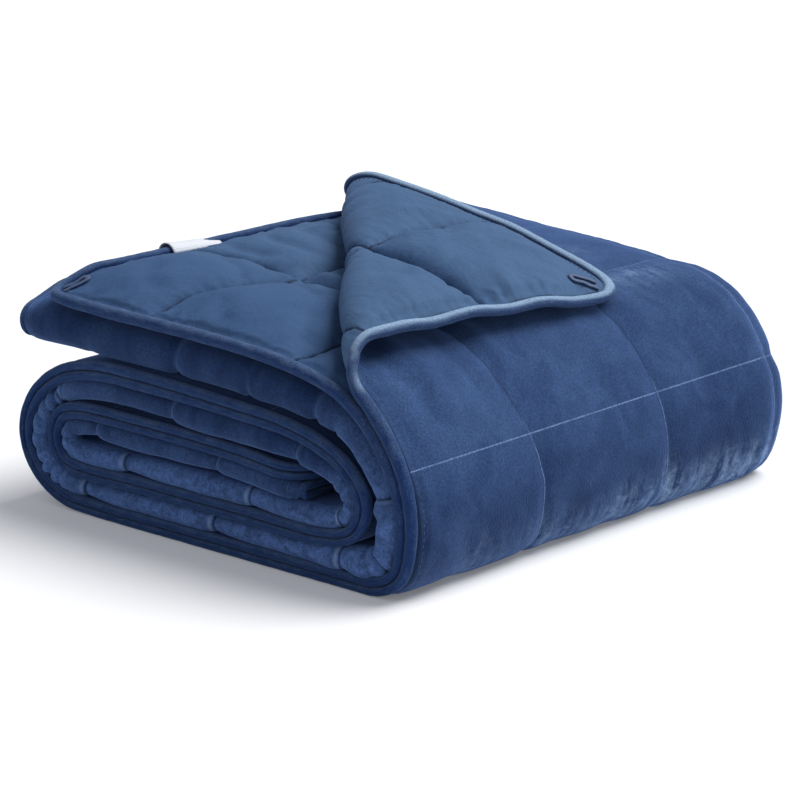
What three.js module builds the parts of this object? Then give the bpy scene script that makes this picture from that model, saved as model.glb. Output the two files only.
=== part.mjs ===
// A quilted velvet blanket, folded in four lengthwise, rolled up flat and laid down,
// with one corner of its top layer turned back to show the lining.
// Millimetres, +Z up. The roll's axis is along Y and its open end faces -Y.
import * as THREE from 'three';
import { mergeVertices } from 'three/addons/utils/BufferGeometryUtils.js';

// The flat blanket
const SQUARE = 127; // a quilted square across the cloth
const SQUARES_ACROSS = 12;
const ROW = 110; // a row of squares along the middle line of the roll
const WHOLE_ROWS = 14;
const LAST_ROW = 52; // the row at the inner end is cut shorter
const WIDTH = SQUARES_ACROSS * SQUARE;
const LENGTH = WHOLE_ROWS * ROW + LAST_ROW;
const CORNER_CUT = 11; // how much the round corners take off each edge

// The filled cloth, measured from its middle surface to either face
const HALF_FLAT = 2.6; // where it is pressed between other layers
const HALF_SEAM = 1.4; // at a quilting seam
const HALF_CROWN = 4.3; // in the middle of a square that lies free
const CROWN_POWER = 0.45; // how square-shouldered a crown is

// The binding
const EDGE_GAP = 0.3;
const BINDING_OUT = 4; // half its width, away from the edge
const BINDING_FREE = 4.1; // half its height where it lies free
const BINDING_PRESSED = 2.65; // half its height inside the roll
const BINDING_SIDES = 8;
const BINDING_STEP = 6; // shortest step along it
const BINDING_FADE = [280, 400]; // along the strip, where it goes into the roll
const BINDING_MITRE = 0.7; // least share of its width at a sharp turn

// The folded strip: where its layers end in Y
const FRONT_Y = -186.5; // the two cut edges, before the binding
const BACK_Y = 203; // outside of the back fold
const FRONT_FOLD_Y = -186; // middle surface at the front fold
const INNER_FOLD_SETBACK = 14; // the inner back fold stays this far behind the outer one
const BACK_SWELL = 7; // how much more the outer face stands out at the back of the right turn
const SWELL_RISE = [225, 290]; // along the strip
const SWELL_FALL = [400, 460];

// The cloth across its width, from one cut edge to the other
const SQUARES_ON_FACE = 3;
const OUTER_FACE = SQUARES_ON_FACE * SQUARE;
const STRETCHES = [
  { name: 'outer face', length: OUTER_FACE },
  { name: 'outer back fold', length: 28 },
  { name: 'outer return', length: 369 },
  { name: 'front fold', length: 10 },
  { name: 'inner return', length: 362 },
  { name: 'inner back fold', length: 10 },
  { name: 'inner face', length: 364 },
];

// The roll, from the free end to the inner end: the strip's middle line in X and Z,
// and the distance between its layers: outer to inner face, inner face to inner return,
// inner return to outer return
const ROLL = [
  // top pass, free end at the left
  { x: -176, z: 151, outer: 9, middle: 9, inner: 17 },
  { x: -142, z: 154, outer: 9, middle: 10, inner: 18 },
  { x: -84, z: 150.5, outer: 9, middle: 11, inner: 17 },
  { x: -4, z: 144, outer: 9, middle: 11, inner: 15.5 },
  { x: 56, z: 136.5, outer: 10, middle: 11, inner: 15 },
  { x: 94, z: 129, outer: 12, middle: 10, inner: 14 },
  // right turn
  { x: 118, z: 121, outer: 12, middle: 9, inner: 13.5 },
  { x: 139, z: 106, outer: 10, middle: 8, inner: 13 },
  { x: 158, z: 80, outer: 9, middle: 7.5, inner: 13.5 },
  { x: 164.5, z: 60, outer: 8.5, middle: 7, inner: 14 },
  { x: 165, z: 40, outer: 8.5, middle: 7, inner: 13.5 },
  { x: 160.5, z: 21, outer: 7.5, middle: 6.5, inner: 11 },
  { x: 146, z: 12.4, outer: 6.4, middle: 6, inner: 8.5 },
  { x: 120, z: 11.3, outer: 5.8, middle: 5.8, inner: 6.5 },
  // bottom pass
  { x: 56, z: 11.3, outer: 5.8, middle: 5.8, inner: 6.5 },
  { x: -50, z: 11.3, outer: 5.8, middle: 5.8, inner: 6.5 },
  { x: -106, z: 11.3, outer: 5.8, middle: 5.8, inner: 6.5 },
  // left turn
  { x: -138, z: 15.5, outer: 5.8, middle: 5.8, inner: 6 },
  { x: -160, z: 30, outer: 5.8, middle: 5.8, inner: 6 },
  { x: -169, z: 50, outer: 5.8, middle: 5.8, inner: 6 },
  { x: -161, z: 72.5, outer: 6.2, middle: 5.8, inner: 6 },
  { x: -138, z: 89.6, outer: 7, middle: 6, inner: 6 },
  { x: -106, z: 95.5, outer: 8.5, middle: 6.5, inner: 6.5 },
  // second pass on top
  { x: -50, z: 96, outer: 8, middle: 6.5, inner: 7 },
  { x: 20, z: 93.5, outer: 7, middle: 6.2, inner: 7 },
  { x: 70, z: 90.5, outer: 6.2, middle: 6, inner: 6.2 },
  { x: 100, z: 84, outer: 5.8, middle: 5.8, inner: 5.8 },
  // second right turn
  { x: 121, z: 73, outer: 5.8, middle: 5.8, inner: 5.8 },
  { x: 132, z: 57, outer: 5.8, middle: 5.8, inner: 5.8 },
  { x: 125, z: 42, outer: 5.8, middle: 5.8, inner: 5.8 },
  { x: 104, z: 36, outer: 5.8, middle: 5.8, inner: 6 },
  // second pass below
  { x: 40, z: 36, outer: 5.8, middle: 5.8, inner: 7 },
  { x: -60, z: 36.5, outer: 5.8, middle: 5.8, inner: 7 },
  { x: -126, z: 36.8, outer: 5.8, middle: 5.8, inner: 5.8 },
  // innermost turn
  { x: -136.6, z: 41, outer: 5.8, middle: 5.8, inner: 5.8 },
  { x: -141, z: 51.2, outer: 5.8, middle: 5.8, inner: 5.8 },
  { x: -136.6, z: 61.4, outer: 5.8, middle: 5.8, inner: 5.8 },
  { x: -126, z: 65.8, outer: 5.8, middle: 5.8, inner: 5.8 },
  // innermost pass
  { x: -60, z: 66.8, outer: 6, middle: 6, inner: 7 },
  { x: 30, z: 64.5, outer: 6, middle: 5.8, inner: 6 },
  { x: 70, z: 60.8, outer: 5.8, middle: 5.8, inner: 5.8 },
  { x: 110, z: 59.8, outer: 5.8, middle: 5.8, inner: 5.8 },
];
const FREE_END_ROW = 1; // the row where the blanket's free end lies

// The free end: the front fold reaches further out than the faces, and the front edge droops
const FOLD_REACH = 29;
const FOLD_REACH_FADE = 260; // along the strip
const FRONT_SAG = 6.5; // how far the top pass's front fold hangs below its layer
const SAG_RISE = [60, 150]; // along the strip
const SAG_FALL = [235, 310];
const SAG_FROM = 0.72; // share of the outer return where it starts to hang
const FRONT_DROOP = 12;
const DROOP_FADE = 280; // along the strip
const DROOP_WIDTH = 46; // in from the front edge
const BACK_DROOP = 7;
const BACK_DROOP_FADE = [180, 330]; // along the strip
const BACK_DROOP_RISE = [40, 200]; // in Y
const CORNER_REACH = 9; // the front corner of the inner face lies further out than the rest of its end
const CORNER_REACH_WIDTH = 70;
const CORNER_REACH_FADE = 130; // along the strip

// The turned-back corner: a crease across the corner of the outer face, and how it lies
const CREASE_ALONG = 249; // from the corner, on the front edge
const CREASE_ACROSS = 297; // from the corner, on the end edge
const CREASE_RADIUS_FRONT = 11.5;
const CREASE_RADIUS_END = 13;
const CREASE_SPREAD = 0.44; // how much wider than high the crease is at the end edge
const SPREAD_RISE = [130, 400]; // along the crease
const TIP_HEIGHT = 10; // middle surface of the tip over the one it lies on
const TIP_SLIDE = new THREE.Vector2(-28, 22); // how far the tip has slid, along and across
const FLAP_FALL = 0.64; // how soon the flap comes down from the crease
const EDGE_LIFT = 6; // how far the front edge of the flap arches up
const EDGE_LIFT_WIDTH = 150;
const END_LIFT = 4; // how far the end edge of the flap arches up
const END_LIFT_WIDTH = 140;
const END_LIFT_RISE = [40, 120]; // across, from the tip
const CREASE_STEPS = 6;
const FLAP_LINES = [0.14, 0.32, 0.5, 0.68, 0.84];

// Lines of the mesh, as shares of a square
const FACE_SHARES = [0, 0.16, 0.5, 0.84];
const ROLL_SHARES = [0, 0.14, 0.38, 0.62, 0.86];
const TURN_SHARES = [0, 0.12, 0.27, 0.42, 0.58, 0.73, 0.88];
const FOLD_STEPS = 4;
const TOP_ROWS = 2; // rows of squares, from the free end, on the flat top
const FREE_ROWS = 4; // rows that lie free, the top and the right turn
const LINE_STEP = 12; // shortest step to the next line, in the rest of the roll
const LINE_BEND = THREE.MathUtils.degToRad(24); // a line between two rows where the roll turns more
const CROWN_FADE = [330, 400]; // along the strip, where crowns give way to the flat underside
const LINING_FADE = [250, 320];

// The corner loops and the label
const LOOP_LENGTH = 15;
const LOOP_WIDTH = 6.4; // between the middles of its two legs
const LOOP_TOP_IN = new THREE.Vector2(17, 6); // from the end edge and from the front edge
const LOOP_END_IN = new THREE.Vector2(4, 12);
const LOOP_TOP_LAY = new THREE.Vector2(0.85, 0.53).normalize(); // the way it points, along and across
const LOOP_END_LAY = new THREE.Vector2(0.5, -1).normalize();
const TAPE_WIDTH = 3.2;
const TAPE_THICK = 2;
const TAPE_SIDES = 8;
const LOOP_STEPS = 12;
const LABEL_WIDTH = 48; // along the edge
const LABEL_SPAN = 8.6; // half the arch, out from the middle of the binding
const LABEL_RISE = 7.4;
const LABEL_THICK = 1;
const LABEL_FOOT = THREE.MathUtils.degToRad(17); // where the arch starts, on the lining
const LABEL_HANG = THREE.MathUtils.degToRad(205); // where it ends, outside the binding
const LABEL_Y = -60;
const LABEL_STEPS = 16;

const { smoothstep, lerp, clamp } = THREE.MathUtils;
const fade = (value, from, to) => 1 - smoothstep(value, from, to);

const material = (color, roughness) => new THREE.MeshStandardMaterial({ color, roughness, metalness: 0 });
const velvet = material('#2c4674', 0.85);
const bindingVelvet = material('#3b5a8c', 0.8);
const tape = material('#35527f', 0.9);
const white = material('#e6e6e8', 0.8);

// The middle line of the rolled strip
const rollPoints = ROLL.map((row) => new THREE.Vector3(row.x, 0, row.z));
const path = new THREE.CatmullRomCurve3(rollPoints, false, 'centripetal');
path.arcLengthDivisions = 2400;
const rowLength = (row) => {
  const lengths = path.getLengths();
  return lengths[Math.round((row / (ROLL.length - 1)) * path.arcLengthDivisions)];
};
const START = rowLength(FREE_END_ROW);

// Place, outward direction and layer offsets of the strip at a distance from the free end
function strip(along) {
  const u = path.getUtoTmapping(0, clamp(START + along, 0, path.getLength()));
  const at = path.getPoint(u);
  const ahead = path.getTangent(u);
  const place = clamp(u, 0, 1) * (ROLL.length - 1);
  const row = Math.min(Math.floor(place), ROLL.length - 2);
  const gap = (name) => lerp(ROLL[row][name], ROLL[row + 1][name], place - row);
  const half = gap('middle') / 2;
  return {
    at,
    out: new THREE.Vector3(-ahead.z, 0, ahead.x),
    outerFace: half + gap('outer'),
    innerFace: half,
    innerReturn: -half,
    outerReturn: -half - gap('inner'),
  };
}

// A fold between two layers: a half circle about an axis along the strip
function fold(share, from, to, axisY, side) {
  const angle = Math.PI * share;
  const radius = (from - to) / 2;
  return {
    y: axisY + side * Math.abs(radius) * Math.sin(angle),
    n: (from + to) / 2 + radius * Math.cos(angle),
  };
}

// The section of the strip: Y and offset from its middle line at a distance across the cloth
function section(layers, along, across) {
  let rest = clamp(across, 0, WIDTH);
  let index = 0;
  while (index < STRETCHES.length - 1 && rest > STRETCHES[index].length) {
    rest -= STRETCHES[index].length;
    index += 1;
  }
  const share = rest / STRETCHES[index].length;
  const { outerFace, innerFace, innerReturn, outerReturn } = layers;
  const outerBack = outerFace + BACK_SWELL * smoothstep(along, ...SWELL_RISE) * fade(along, ...SWELL_FALL);
  const backAxis = BACK_Y - HALF_FLAT - (outerBack - outerReturn) / 2;
  const innerAxis = backAxis - INNER_FOLD_SETBACK;
  const sag = FRONT_SAG * smoothstep(along, ...SAG_RISE) * fade(along, ...SAG_FALL);
  const frontReturn = outerReturn - sag;
  const frontAxis = FRONT_FOLD_Y + (innerReturn - frontReturn) / 2;
  switch (STRETCHES[index].name) {
    case 'outer face':
      return { y: lerp(FRONT_Y, backAxis, share), n: lerp(outerFace, outerBack, share * share) };
    case 'outer back fold':
      return fold(share, outerBack, outerReturn, backAxis, 1);
    case 'outer return':
      return { y: lerp(backAxis, frontAxis, share), n: outerReturn - sag * smoothstep(share, SAG_FROM, 1) };
    case 'front fold':
      return fold(share, frontReturn, innerReturn, frontAxis, -1);
    case 'inner return':
      return { y: lerp(frontAxis, innerAxis, share), n: innerReturn };
    case 'inner back fold':
      return fold(share, innerReturn, innerFace, innerAxis, 1);
    default:
      return { y: lerp(innerAxis, FRONT_Y, share), n: innerFace };
  }
}

// How much further out the returns and the inner face's corner lie than the rest, at the free end
const returnsStart = OUTER_FACE + STRETCHES[1].length;
const returnsEnd = WIDTH - STRETCHES[6].length - STRETCHES[5].length;
const frontFoldMiddle = returnsStart + STRETCHES[2].length + STRETCHES[3].length / 2;
function reach(along, across) {
  const share = across < frontFoldMiddle
    ? smoothstep(across, returnsStart, frontFoldMiddle)
    : 1 - smoothstep(across, frontFoldMiddle, returnsEnd);
  const corner = smoothstep(across, WIDTH - CORNER_REACH_WIDTH, WIDTH) * fade(along, 0, CORNER_REACH_FADE);
  return FOLD_REACH * share * fade(along, 0, FOLD_REACH_FADE) + CORNER_REACH * corner;
}

// Middle surface of the cloth before its corner is turned back
function rolled(along, across) {
  const layers = strip(along - reach(along, across));
  const { y, n } = section(layers, along, across);
  const droop = FRONT_DROOP * fade(along, 0, DROOP_FADE) * fade(y, FRONT_Y, FRONT_Y + DROOP_WIDTH)
    + BACK_DROOP * fade(along, ...BACK_DROOP_FADE) * smoothstep(y, ...BACK_DROOP_RISE);
  const point = layers.at.clone().addScaledVector(layers.out, n);
  return new THREE.Vector3(point.x, y, Math.max(point.z - droop, HALF_FLAT));
}

// Directions on a surface, along and across the cloth and out of its velvet face
const PROBE = 0.4;
function directions(surface, along, across) {
  const acrossLow = Math.max(across - PROBE, 0);
  const acrossHigh = Math.min(across + PROBE, WIDTH);
  const alongDir = surface(along + PROBE, across).sub(surface(along - PROBE, across)).normalize();
  const acrossDir = surface(along, acrossHigh).sub(surface(along, acrossLow)).normalize();
  return { alongDir, acrossDir, out: alongDir.clone().cross(acrossDir).normalize() };
}

// The crease, in the flat cloth: distance along it and distance past it towards the corner
const creaseLength = Math.hypot(CREASE_ALONG, CREASE_ACROSS);
const creaseDir = new THREE.Vector2(-CREASE_ALONG, CREASE_ACROSS).divideScalar(creaseLength);
const cornerDir = new THREE.Vector2(-CREASE_ACROSS, -CREASE_ALONG).divideScalar(creaseLength);
const creaseStart = new THREE.Vector2(CREASE_ALONG, 0);
const tipDistance = cornerDir.dot(new THREE.Vector2(-CREASE_ALONG, 0));
const creaseRadius = (l) => lerp(CREASE_RADIUS_FRONT, CREASE_RADIUS_END, l / creaseLength);
function creaseFrame(along, across) {
  const from = new THREE.Vector2(along, across).sub(creaseStart);
  return { l: from.dot(creaseDir), q: from.dot(cornerDir) };
}
const flatPoint = (l, q) => creaseStart.clone().addScaledVector(creaseDir, l).addScaledVector(cornerDir, q);
const beforeCrease = (along, across) => {
  const { l, q } = creaseFrame(along, across);
  return -(q + (Math.PI / 2) * creaseRadius(l));
};

// Middle surface of the cloth, corner turned back
function middle(along, across) {
  if (across > OUTER_FACE || beforeCrease(along, across) >= 0) return rolled(along, across);
  const { l, q } = creaseFrame(along, across);
  const radius = creaseRadius(l);
  const quarter = (Math.PI / 2) * radius;
  const share = clamp((q - quarter) / (tipDistance - quarter), 0, 1);
  const under = flatPoint(l, -Math.max(q, quarter)).addScaledVector(TIP_SLIDE, share);
  const base = rolled(under.x, under.y);
  const { alongDir, acrossDir, out } = directions(rolled, under.x, under.y);
  if (q < quarter) {
    const turn = (q + quarter) / radius;
    const ahead = alongDir.multiplyScalar(cornerDir.x).addScaledVector(acrossDir, cornerDir.y).normalize();
    return base
      .addScaledVector(ahead, radius * (1 + CREASE_SPREAD * smoothstep(l, ...SPREAD_RISE)) * Math.sin(turn))
      .addScaledVector(out, radius * (1 - Math.cos(turn)));
  }
  const arch = EDGE_LIFT * Math.sin(Math.PI * share) * clamp(1 - across / EDGE_LIFT_WIDTH, 0, 1);
  const fall = share ** FLAP_FALL;
  const endArch = END_LIFT * Math.sin(Math.PI * fall) * fade(along, 0, END_LIFT_WIDTH) * smoothstep(across, ...END_LIFT_RISE);
  return base.addScaledVector(out, lerp(2 * radius, TIP_HEIGHT, fall) + arch + endArch);
}

// Half thickness of the cloth on its velvet face and on its lining
const bulge = (distance, side) => Math.abs(Math.sin((Math.PI * distance) / side));
function halfThickness(along, across) {
  const fromEdge = Math.min(across, WIDTH - across);
  const crown = lerp(HALF_SEAM, HALF_CROWN, (bulge(along, ROW) * bulge(fromEdge, SQUARE)) ** CROWN_POWER);
  const onFace = fade(across, OUTER_FACE, OUTER_FACE + STRETCHES[1].length / 2);
  const onInnerFace = across > returnsEnd + STRETCHES[5].length ? 1 : 0;
  const onFlap = across <= OUTER_FACE && beforeCrease(along, across) <= 0 ? 1 : 0;
  return {
    velvet: lerp(HALF_FLAT, crown, onFace * fade(along, ...CROWN_FADE)),
    lining: lerp(HALF_FLAT, crown, Math.max(onFlap, onInnerFace * fade(along, ...LINING_FADE))),
  };
}

// Lines along the cloth (at distances across it) and across it (at distances along it)
function linesAcross() {
  const lines = [];
  let start = 0;
  STRETCHES.forEach(({ name, length }) => {
    if (name === 'outer face' || name === 'inner face') {
      const squares = Array.from({ length: SQUARES_ON_FACE }, (_, square) => square);
      const fromEdge = squares
        .flatMap((square) => FACE_SHARES.map((share) => (square + share) * SQUARE))
        .filter((distance) => distance < length);
      lines.push(...(start === 0 ? fromEdge : fromEdge.map((distance) => WIDTH - distance)), start);
    } else {
      const steps = name.endsWith('fold') ? FOLD_STEPS : 1;
      for (let step = 0; step < steps; step += 1) lines.push(start + (length * step) / steps);
    }
    start += length;
  });
  return [...new Set(lines)].sort((a, b) => a - b);
}

function linesAlong() {
  const lines = [];
  for (let row = 0; row < FREE_ROWS; row += 1) {
    const shares = row < TOP_ROWS ? ROLL_SHARES : TURN_SHARES;
    lines.push(...shares.map((share) => (row + share) * ROW));
  }
  const last = lines[lines.length - 1];
  const rows = ROLL.map((row, index) => rowLength(index) - START);
  rows.slice(0, -1).forEach((here, index) => {
    const next = rows[index + 1];
    const bend = strip(here).out.angleTo(strip(next).out);
    const stops = bend > LINE_BEND ? [here, (here + next) / 2] : [here];
    lines.push(...stops.filter((stop) => stop > last + LINE_STEP && stop < LENGTH - LINE_STEP));
  });
  return [...lines, LENGTH];
}

// The part of a flat polygon where a linear measure is not negative
function clip(polygon, measure) {
  const kept = [];
  polygon.forEach((point, index) => {
    const next = polygon[(index + 1) % polygon.length];
    const here = measure(point.x, point.y);
    const there = measure(next.x, next.y);
    if (here >= 0) kept.push(point);
    if ((here > 0 && there < 0) || (here < 0 && there > 0)) {
      kept.push(point.clone().lerp(next, here / (here - there)));
    }
  });
  return kept;
}

// Round corners of the flat blanket, other than the one that is turned back
const corners = [
  (along, across) => along + (WIDTH - across) - CORNER_CUT,
  (along, across) => LENGTH - along + (WIDTH - across) - CORNER_CUT,
  (along, across) => LENGTH - along + across - CORNER_CUT,
];

// Flat triangles of the whole cloth
function flatCloth() {
  const points = [];
  const triangles = [];
  const known = new Map();
  const index = (point) => {
    const key = `${point.x.toFixed(3)},${point.y.toFixed(3)}`;
    if (!known.has(key)) {
      known.set(key, points.length);
      points.push(point);
    }
    return known.get(key);
  };
  const addPolygon = (polygon) => {
    const ids = polygon.map(index).filter((id, at, all) => id !== all[(at + 1) % all.length]);
    for (let k = 1; k + 1 < ids.length; k += 1) triangles.push([ids[0], ids[k], ids[k + 1]]);
  };

  const along = linesAlong();
  const across = linesAcross().concat(WIDTH);
  const creasePoints = new Map();
  for (let i = 0; i + 1 < along.length; i += 1) {
    for (let j = 0; j + 1 < across.length; j += 1) {
      const grid = [[i, j], [i + 1, j], [i + 1, j + 1], [i, j + 1]];
      let cell = grid.map(([a, b]) => new THREE.Vector2(along[a], across[b]));
      if (across[j] < OUTER_FACE) {
        cell = clip(cell, beforeCrease);
        cell.filter((point) => Math.abs(beforeCrease(point.x, point.y)) < 1e-6)
          .forEach((point) => creasePoints.set(index(point), point));
      }
      corners.forEach((corner) => {
        cell = clip(cell, corner);
      });
      if (cell.length > 2) addPolygon(cell);
    }
  }

  // The turned-back corner is ruled by lines from its front edge to its end edge
  const root = [...creasePoints.values()].sort((a, b) => a.y - b.y);
  const rootEnd = [root[0].x, root[root.length - 1].y];
  const shares = root.map((point) => point.y / rootEnd[1]);
  const lineEnds = [];
  for (let step = 1; step <= CREASE_STEPS; step += 1) {
    const turn = Math.PI * (step / CREASE_STEPS - 0.5);
    const measure = (x, y) => creaseFrame(x, y).q - turn * creaseRadius(creaseFrame(x, y).l);
    const zero = (at) => measure(0, 0) / (measure(0, 0) - at);
    lineEnds.push([zero(measure(1, 0)), zero(measure(0, 1))]);
  }
  const [lastAlong, lastAcross] = lineEnds[lineEnds.length - 1];
  const tipShare = 1 - CORNER_CUT / lastAlong;
  [...FLAP_LINES, tipShare].forEach((share) => {
    lineEnds.push([lastAlong * (1 - share), lastAcross * (1 - share)]);
  });
  let line = root;
  lineEnds.forEach(([alongEnd, acrossEnd]) => {
    const next = shares.map((share) => new THREE.Vector2(alongEnd * (1 - share), acrossEnd * share));
    for (let k = 0; k + 1 < line.length; k += 1) addPolygon([line[k], line[k + 1], next[k + 1], next[k]]);
    line = next;
  });
  return { points, triangles };
}

// The edge of the flat cloth, in order, with the cloth on its left
function boundary(triangles) {
  const after = new Map();
  const used = new Set(triangles.flatMap(([a, b, c]) => [`${a} ${b}`, `${b} ${c}`, `${c} ${a}`]));
  used.forEach((edge) => {
    const [a, b] = edge.split(' ').map(Number);
    if (!used.has(`${b} ${a}`)) after.set(a, b);
  });
  const loop = [after.keys().next().value];
  while (after.get(loop[loop.length - 1]) !== loop[0]) loop.push(after.get(loop[loop.length - 1]));
  return loop;
}

function solidGeometry(vertices, triangles) {
  const geometry = new THREE.BufferGeometry();
  const numbers = vertices.flatMap((vertex) => vertex.toArray());
  geometry.setAttribute('position', new THREE.Float32BufferAttribute(numbers, 3));
  geometry.setIndex(triangles.flat());
  const merged = mergeVertices(geometry, 1e-4);
  merged.computeVertexNormals();
  return merged;
}

const cloth = flatCloth();
const edge = boundary(cloth.triangles);

// The quilt: both faces of the cloth and the rim between them
function quiltGeometry() {
  const count = cloth.points.length;
  const faces = cloth.points.map(({ x: along, y: across }) => {
    const { out } = directions(middle, along, across);
    const half = halfThickness(along, across);
    const at = middle(along, across);
    return [at.clone().addScaledVector(out, half.velvet), at.clone().addScaledVector(out, -half.lining)];
  });
  const vertices = [...faces.map((pair) => pair[0]), ...faces.map((pair) => pair[1])];
  vertices.forEach((vertex) => vertex.setZ(Math.max(vertex.z, 0)));
  const triangles = [];
  cloth.triangles.forEach(([a, b, c]) => triangles.push([a, b, c], [c + count, b + count, a + count]));
  edge.forEach((a, at) => {
    const b = edge[(at + 1) % edge.length];
    triangles.push([a, a + count, b + count], [a, b + count, b]);
  });
  return solidGeometry(vertices, triangles);
}

// A tube through rings of points, closed on itself or capped
function tubeGeometry(rings, closed) {
  const sides = rings[0].length;
  const triangles = [];
  const last = closed ? rings.length : rings.length - 1;
  for (let ring = 0; ring < last; ring += 1) {
    const here = ring * sides;
    const there = ((ring + 1) % rings.length) * sides;
    for (let side = 0; side < sides; side += 1) {
      const next = (side + 1) % sides;
      triangles.push([here + side, there + side, there + next], [here + side, there + next, here + next]);
    }
  }
  for (let side = 1; !closed && side + 1 < sides; side += 1) {
    const end = (rings.length - 1) * sides;
    triangles.push([0, side, side + 1], [end, end + side + 1, end + side]);
  }
  return solidGeometry(rings.flat(), triangles);
}

function ringOfPoints(centre, first, second, firstHalf, secondHalf, sides) {
  return Array.from({ length: sides }, (_, side) => {
    const angle = (2 * Math.PI * (side + 0.5)) / sides;
    return centre.clone()
      .addScaledVector(first, firstHalf * Math.cos(angle))
      .addScaledVector(second, secondHalf * Math.sin(angle));
  });
}

// The binding: a soft tube round the whole edge
function bindingGeometry() {
  const stops = [];
  const places = edge.map((id) => middle(cloth.points[id].x, cloth.points[id].y));
  places.forEach((at, index) => {
    const { x: along, y: across } = cloth.points[edge[index]];
    const before = stops[stops.length - 1];
    const next = places[(index + 1) % places.length];
    const far = !before || before.at.distanceTo(at) > BINDING_STEP;
    if (far || at.distanceTo(next) > BINDING_STEP) stops.push({ along, across, at });
  });
  const rings = stops.map((stop, index) => {
    const before = stops[(index + stops.length - 1) % stops.length].at;
    const after = stops[(index + 1) % stops.length].at;
    const ahead = after.clone().sub(before).normalize();
    const { out } = directions(middle, stop.along, stop.across);
    const away = ahead.clone().cross(out).normalize();
    const mitre = Math.max(ahead.dot(after.clone().sub(stop.at).normalize()), BINDING_MITRE);
    const height = lerp(BINDING_FREE, BINDING_PRESSED, smoothstep(stop.along, ...BINDING_FADE));
    const centre = stop.at.clone().addScaledVector(away, (EDGE_GAP + BINDING_OUT) / mitre);
    const ring = ringOfPoints(centre, away, out, BINDING_OUT, height, BINDING_SIDES);
    return ring.map((point) => point.setZ(Math.max(point.z, EDGE_GAP)));
  });
  return tubeGeometry(rings, true);
}

// A flat tape loop on the lining, from a corner inwards
function loopGeometry(corner, inwards) {
  const sideways = new THREE.Vector2(-inwards.y, inwards.x);
  const half = LOOP_WIDTH / 2;
  const shape = new THREE.Path().moveTo(0, -half).lineTo(LOOP_LENGTH - half, -half);
  shape.absarc(LOOP_LENGTH - half, 0, half, -Math.PI / 2, Math.PI / 2, false).lineTo(0, half);
  const stops = shape.getSpacedPoints(LOOP_STEPS).map((at) => {
    const { x: along, y: across } = corner.clone()
      .addScaledVector(inwards, at.x)
      .addScaledVector(sideways, at.y);
    const { out } = directions(middle, along, across);
    const height = halfThickness(along, across).lining + 2 * EDGE_GAP + TAPE_THICK / 2;
    return { at: middle(along, across).addScaledVector(out, -height), out };
  });
  const rings = stops.map(({ at, out }, index) => {
    const before = stops[Math.max(index - 1, 0)].at;
    const after = stops[Math.min(index + 1, stops.length - 1)].at;
    const ahead = after.clone().sub(before).normalize();
    const away = ahead.clone().cross(out).normalize();
    return ringOfPoints(at, away, out, TAPE_WIDTH / 2, TAPE_THICK / 2, TAPE_SIDES);
  });
  return tubeGeometry(rings, false);
}

// The label: a folded tape that leaves the end seam and arches over the binding
function labelMesh() {
  const across = WIDTH - (LABEL_Y - FRONT_Y);
  const end = middle(0, across);
  const outline = new THREE.Shape();
  const inside = [LABEL_SPAN - LABEL_THICK, LABEL_RISE - LABEL_THICK];
  outline.absellipse(0, 0, LABEL_SPAN, LABEL_RISE, LABEL_FOOT, LABEL_HANG, false);
  outline.lineTo(inside[0] * Math.cos(LABEL_HANG), inside[1] * Math.sin(LABEL_HANG));
  outline.absellipse(0, 0, ...inside, LABEL_HANG, LABEL_FOOT, true);
  outline.closePath();
  const settings = { depth: LABEL_WIDTH, bevelEnabled: false, curveSegments: LABEL_STEPS };
  const geometry = new THREE.ExtrudeGeometry(outline, settings);
  geometry.deleteAttribute('uv');
  geometry.deleteAttribute('normal');
  const mesh = new THREE.Mesh(mergeVertices(geometry), white);
  mesh.name = 'label';
  mesh.rotation.x = Math.PI / 2;
  mesh.position.set(end.x - EDGE_GAP - BINDING_OUT, LABEL_Y + LABEL_WIDTH / 2, end.z);
  return mesh;
}

function part(name, geometry, cover) {
  const mesh = new THREE.Mesh(geometry, cover);
  mesh.name = name;
  return mesh;
}

const blanket = new THREE.Group();
blanket.name = 'folded_quilted_blanket';
const endCorner = new THREE.Vector2(LOOP_END_IN.x, WIDTH - LOOP_END_IN.y);
blanket.add(part('quilt', quiltGeometry(), velvet));
blanket.add(part('binding', bindingGeometry(), bindingVelvet));
blanket.add(part('corner_loop_top', loopGeometry(LOOP_TOP_IN, LOOP_TOP_LAY), tape));
blanket.add(part('corner_loop_end', loopGeometry(endCorner, LOOP_END_LAY), tape));
blanket.add(labelMesh());

// The origin is under the middle of the whole, on the surface it lies on
const box = new THREE.Box3().setFromObject(blanket, true);
const middleOfBox = box.getCenter(new THREE.Vector3());
blanket.position.set(-middleOfBox.x, -middleOfBox.y, -box.min.z);

export default blanket;
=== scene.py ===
"""Dresses the folded quilted blanket: velvet face, lining, binding, sewing, loops and label."""

import math

import bpy
import numpy as np
from bpy.props import FloatProperty, FloatVectorProperty, PointerProperty
from bpy.types import Operator, Panel, PropertyGroup
from mathutils import Euler, Matrix, Vector


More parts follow.
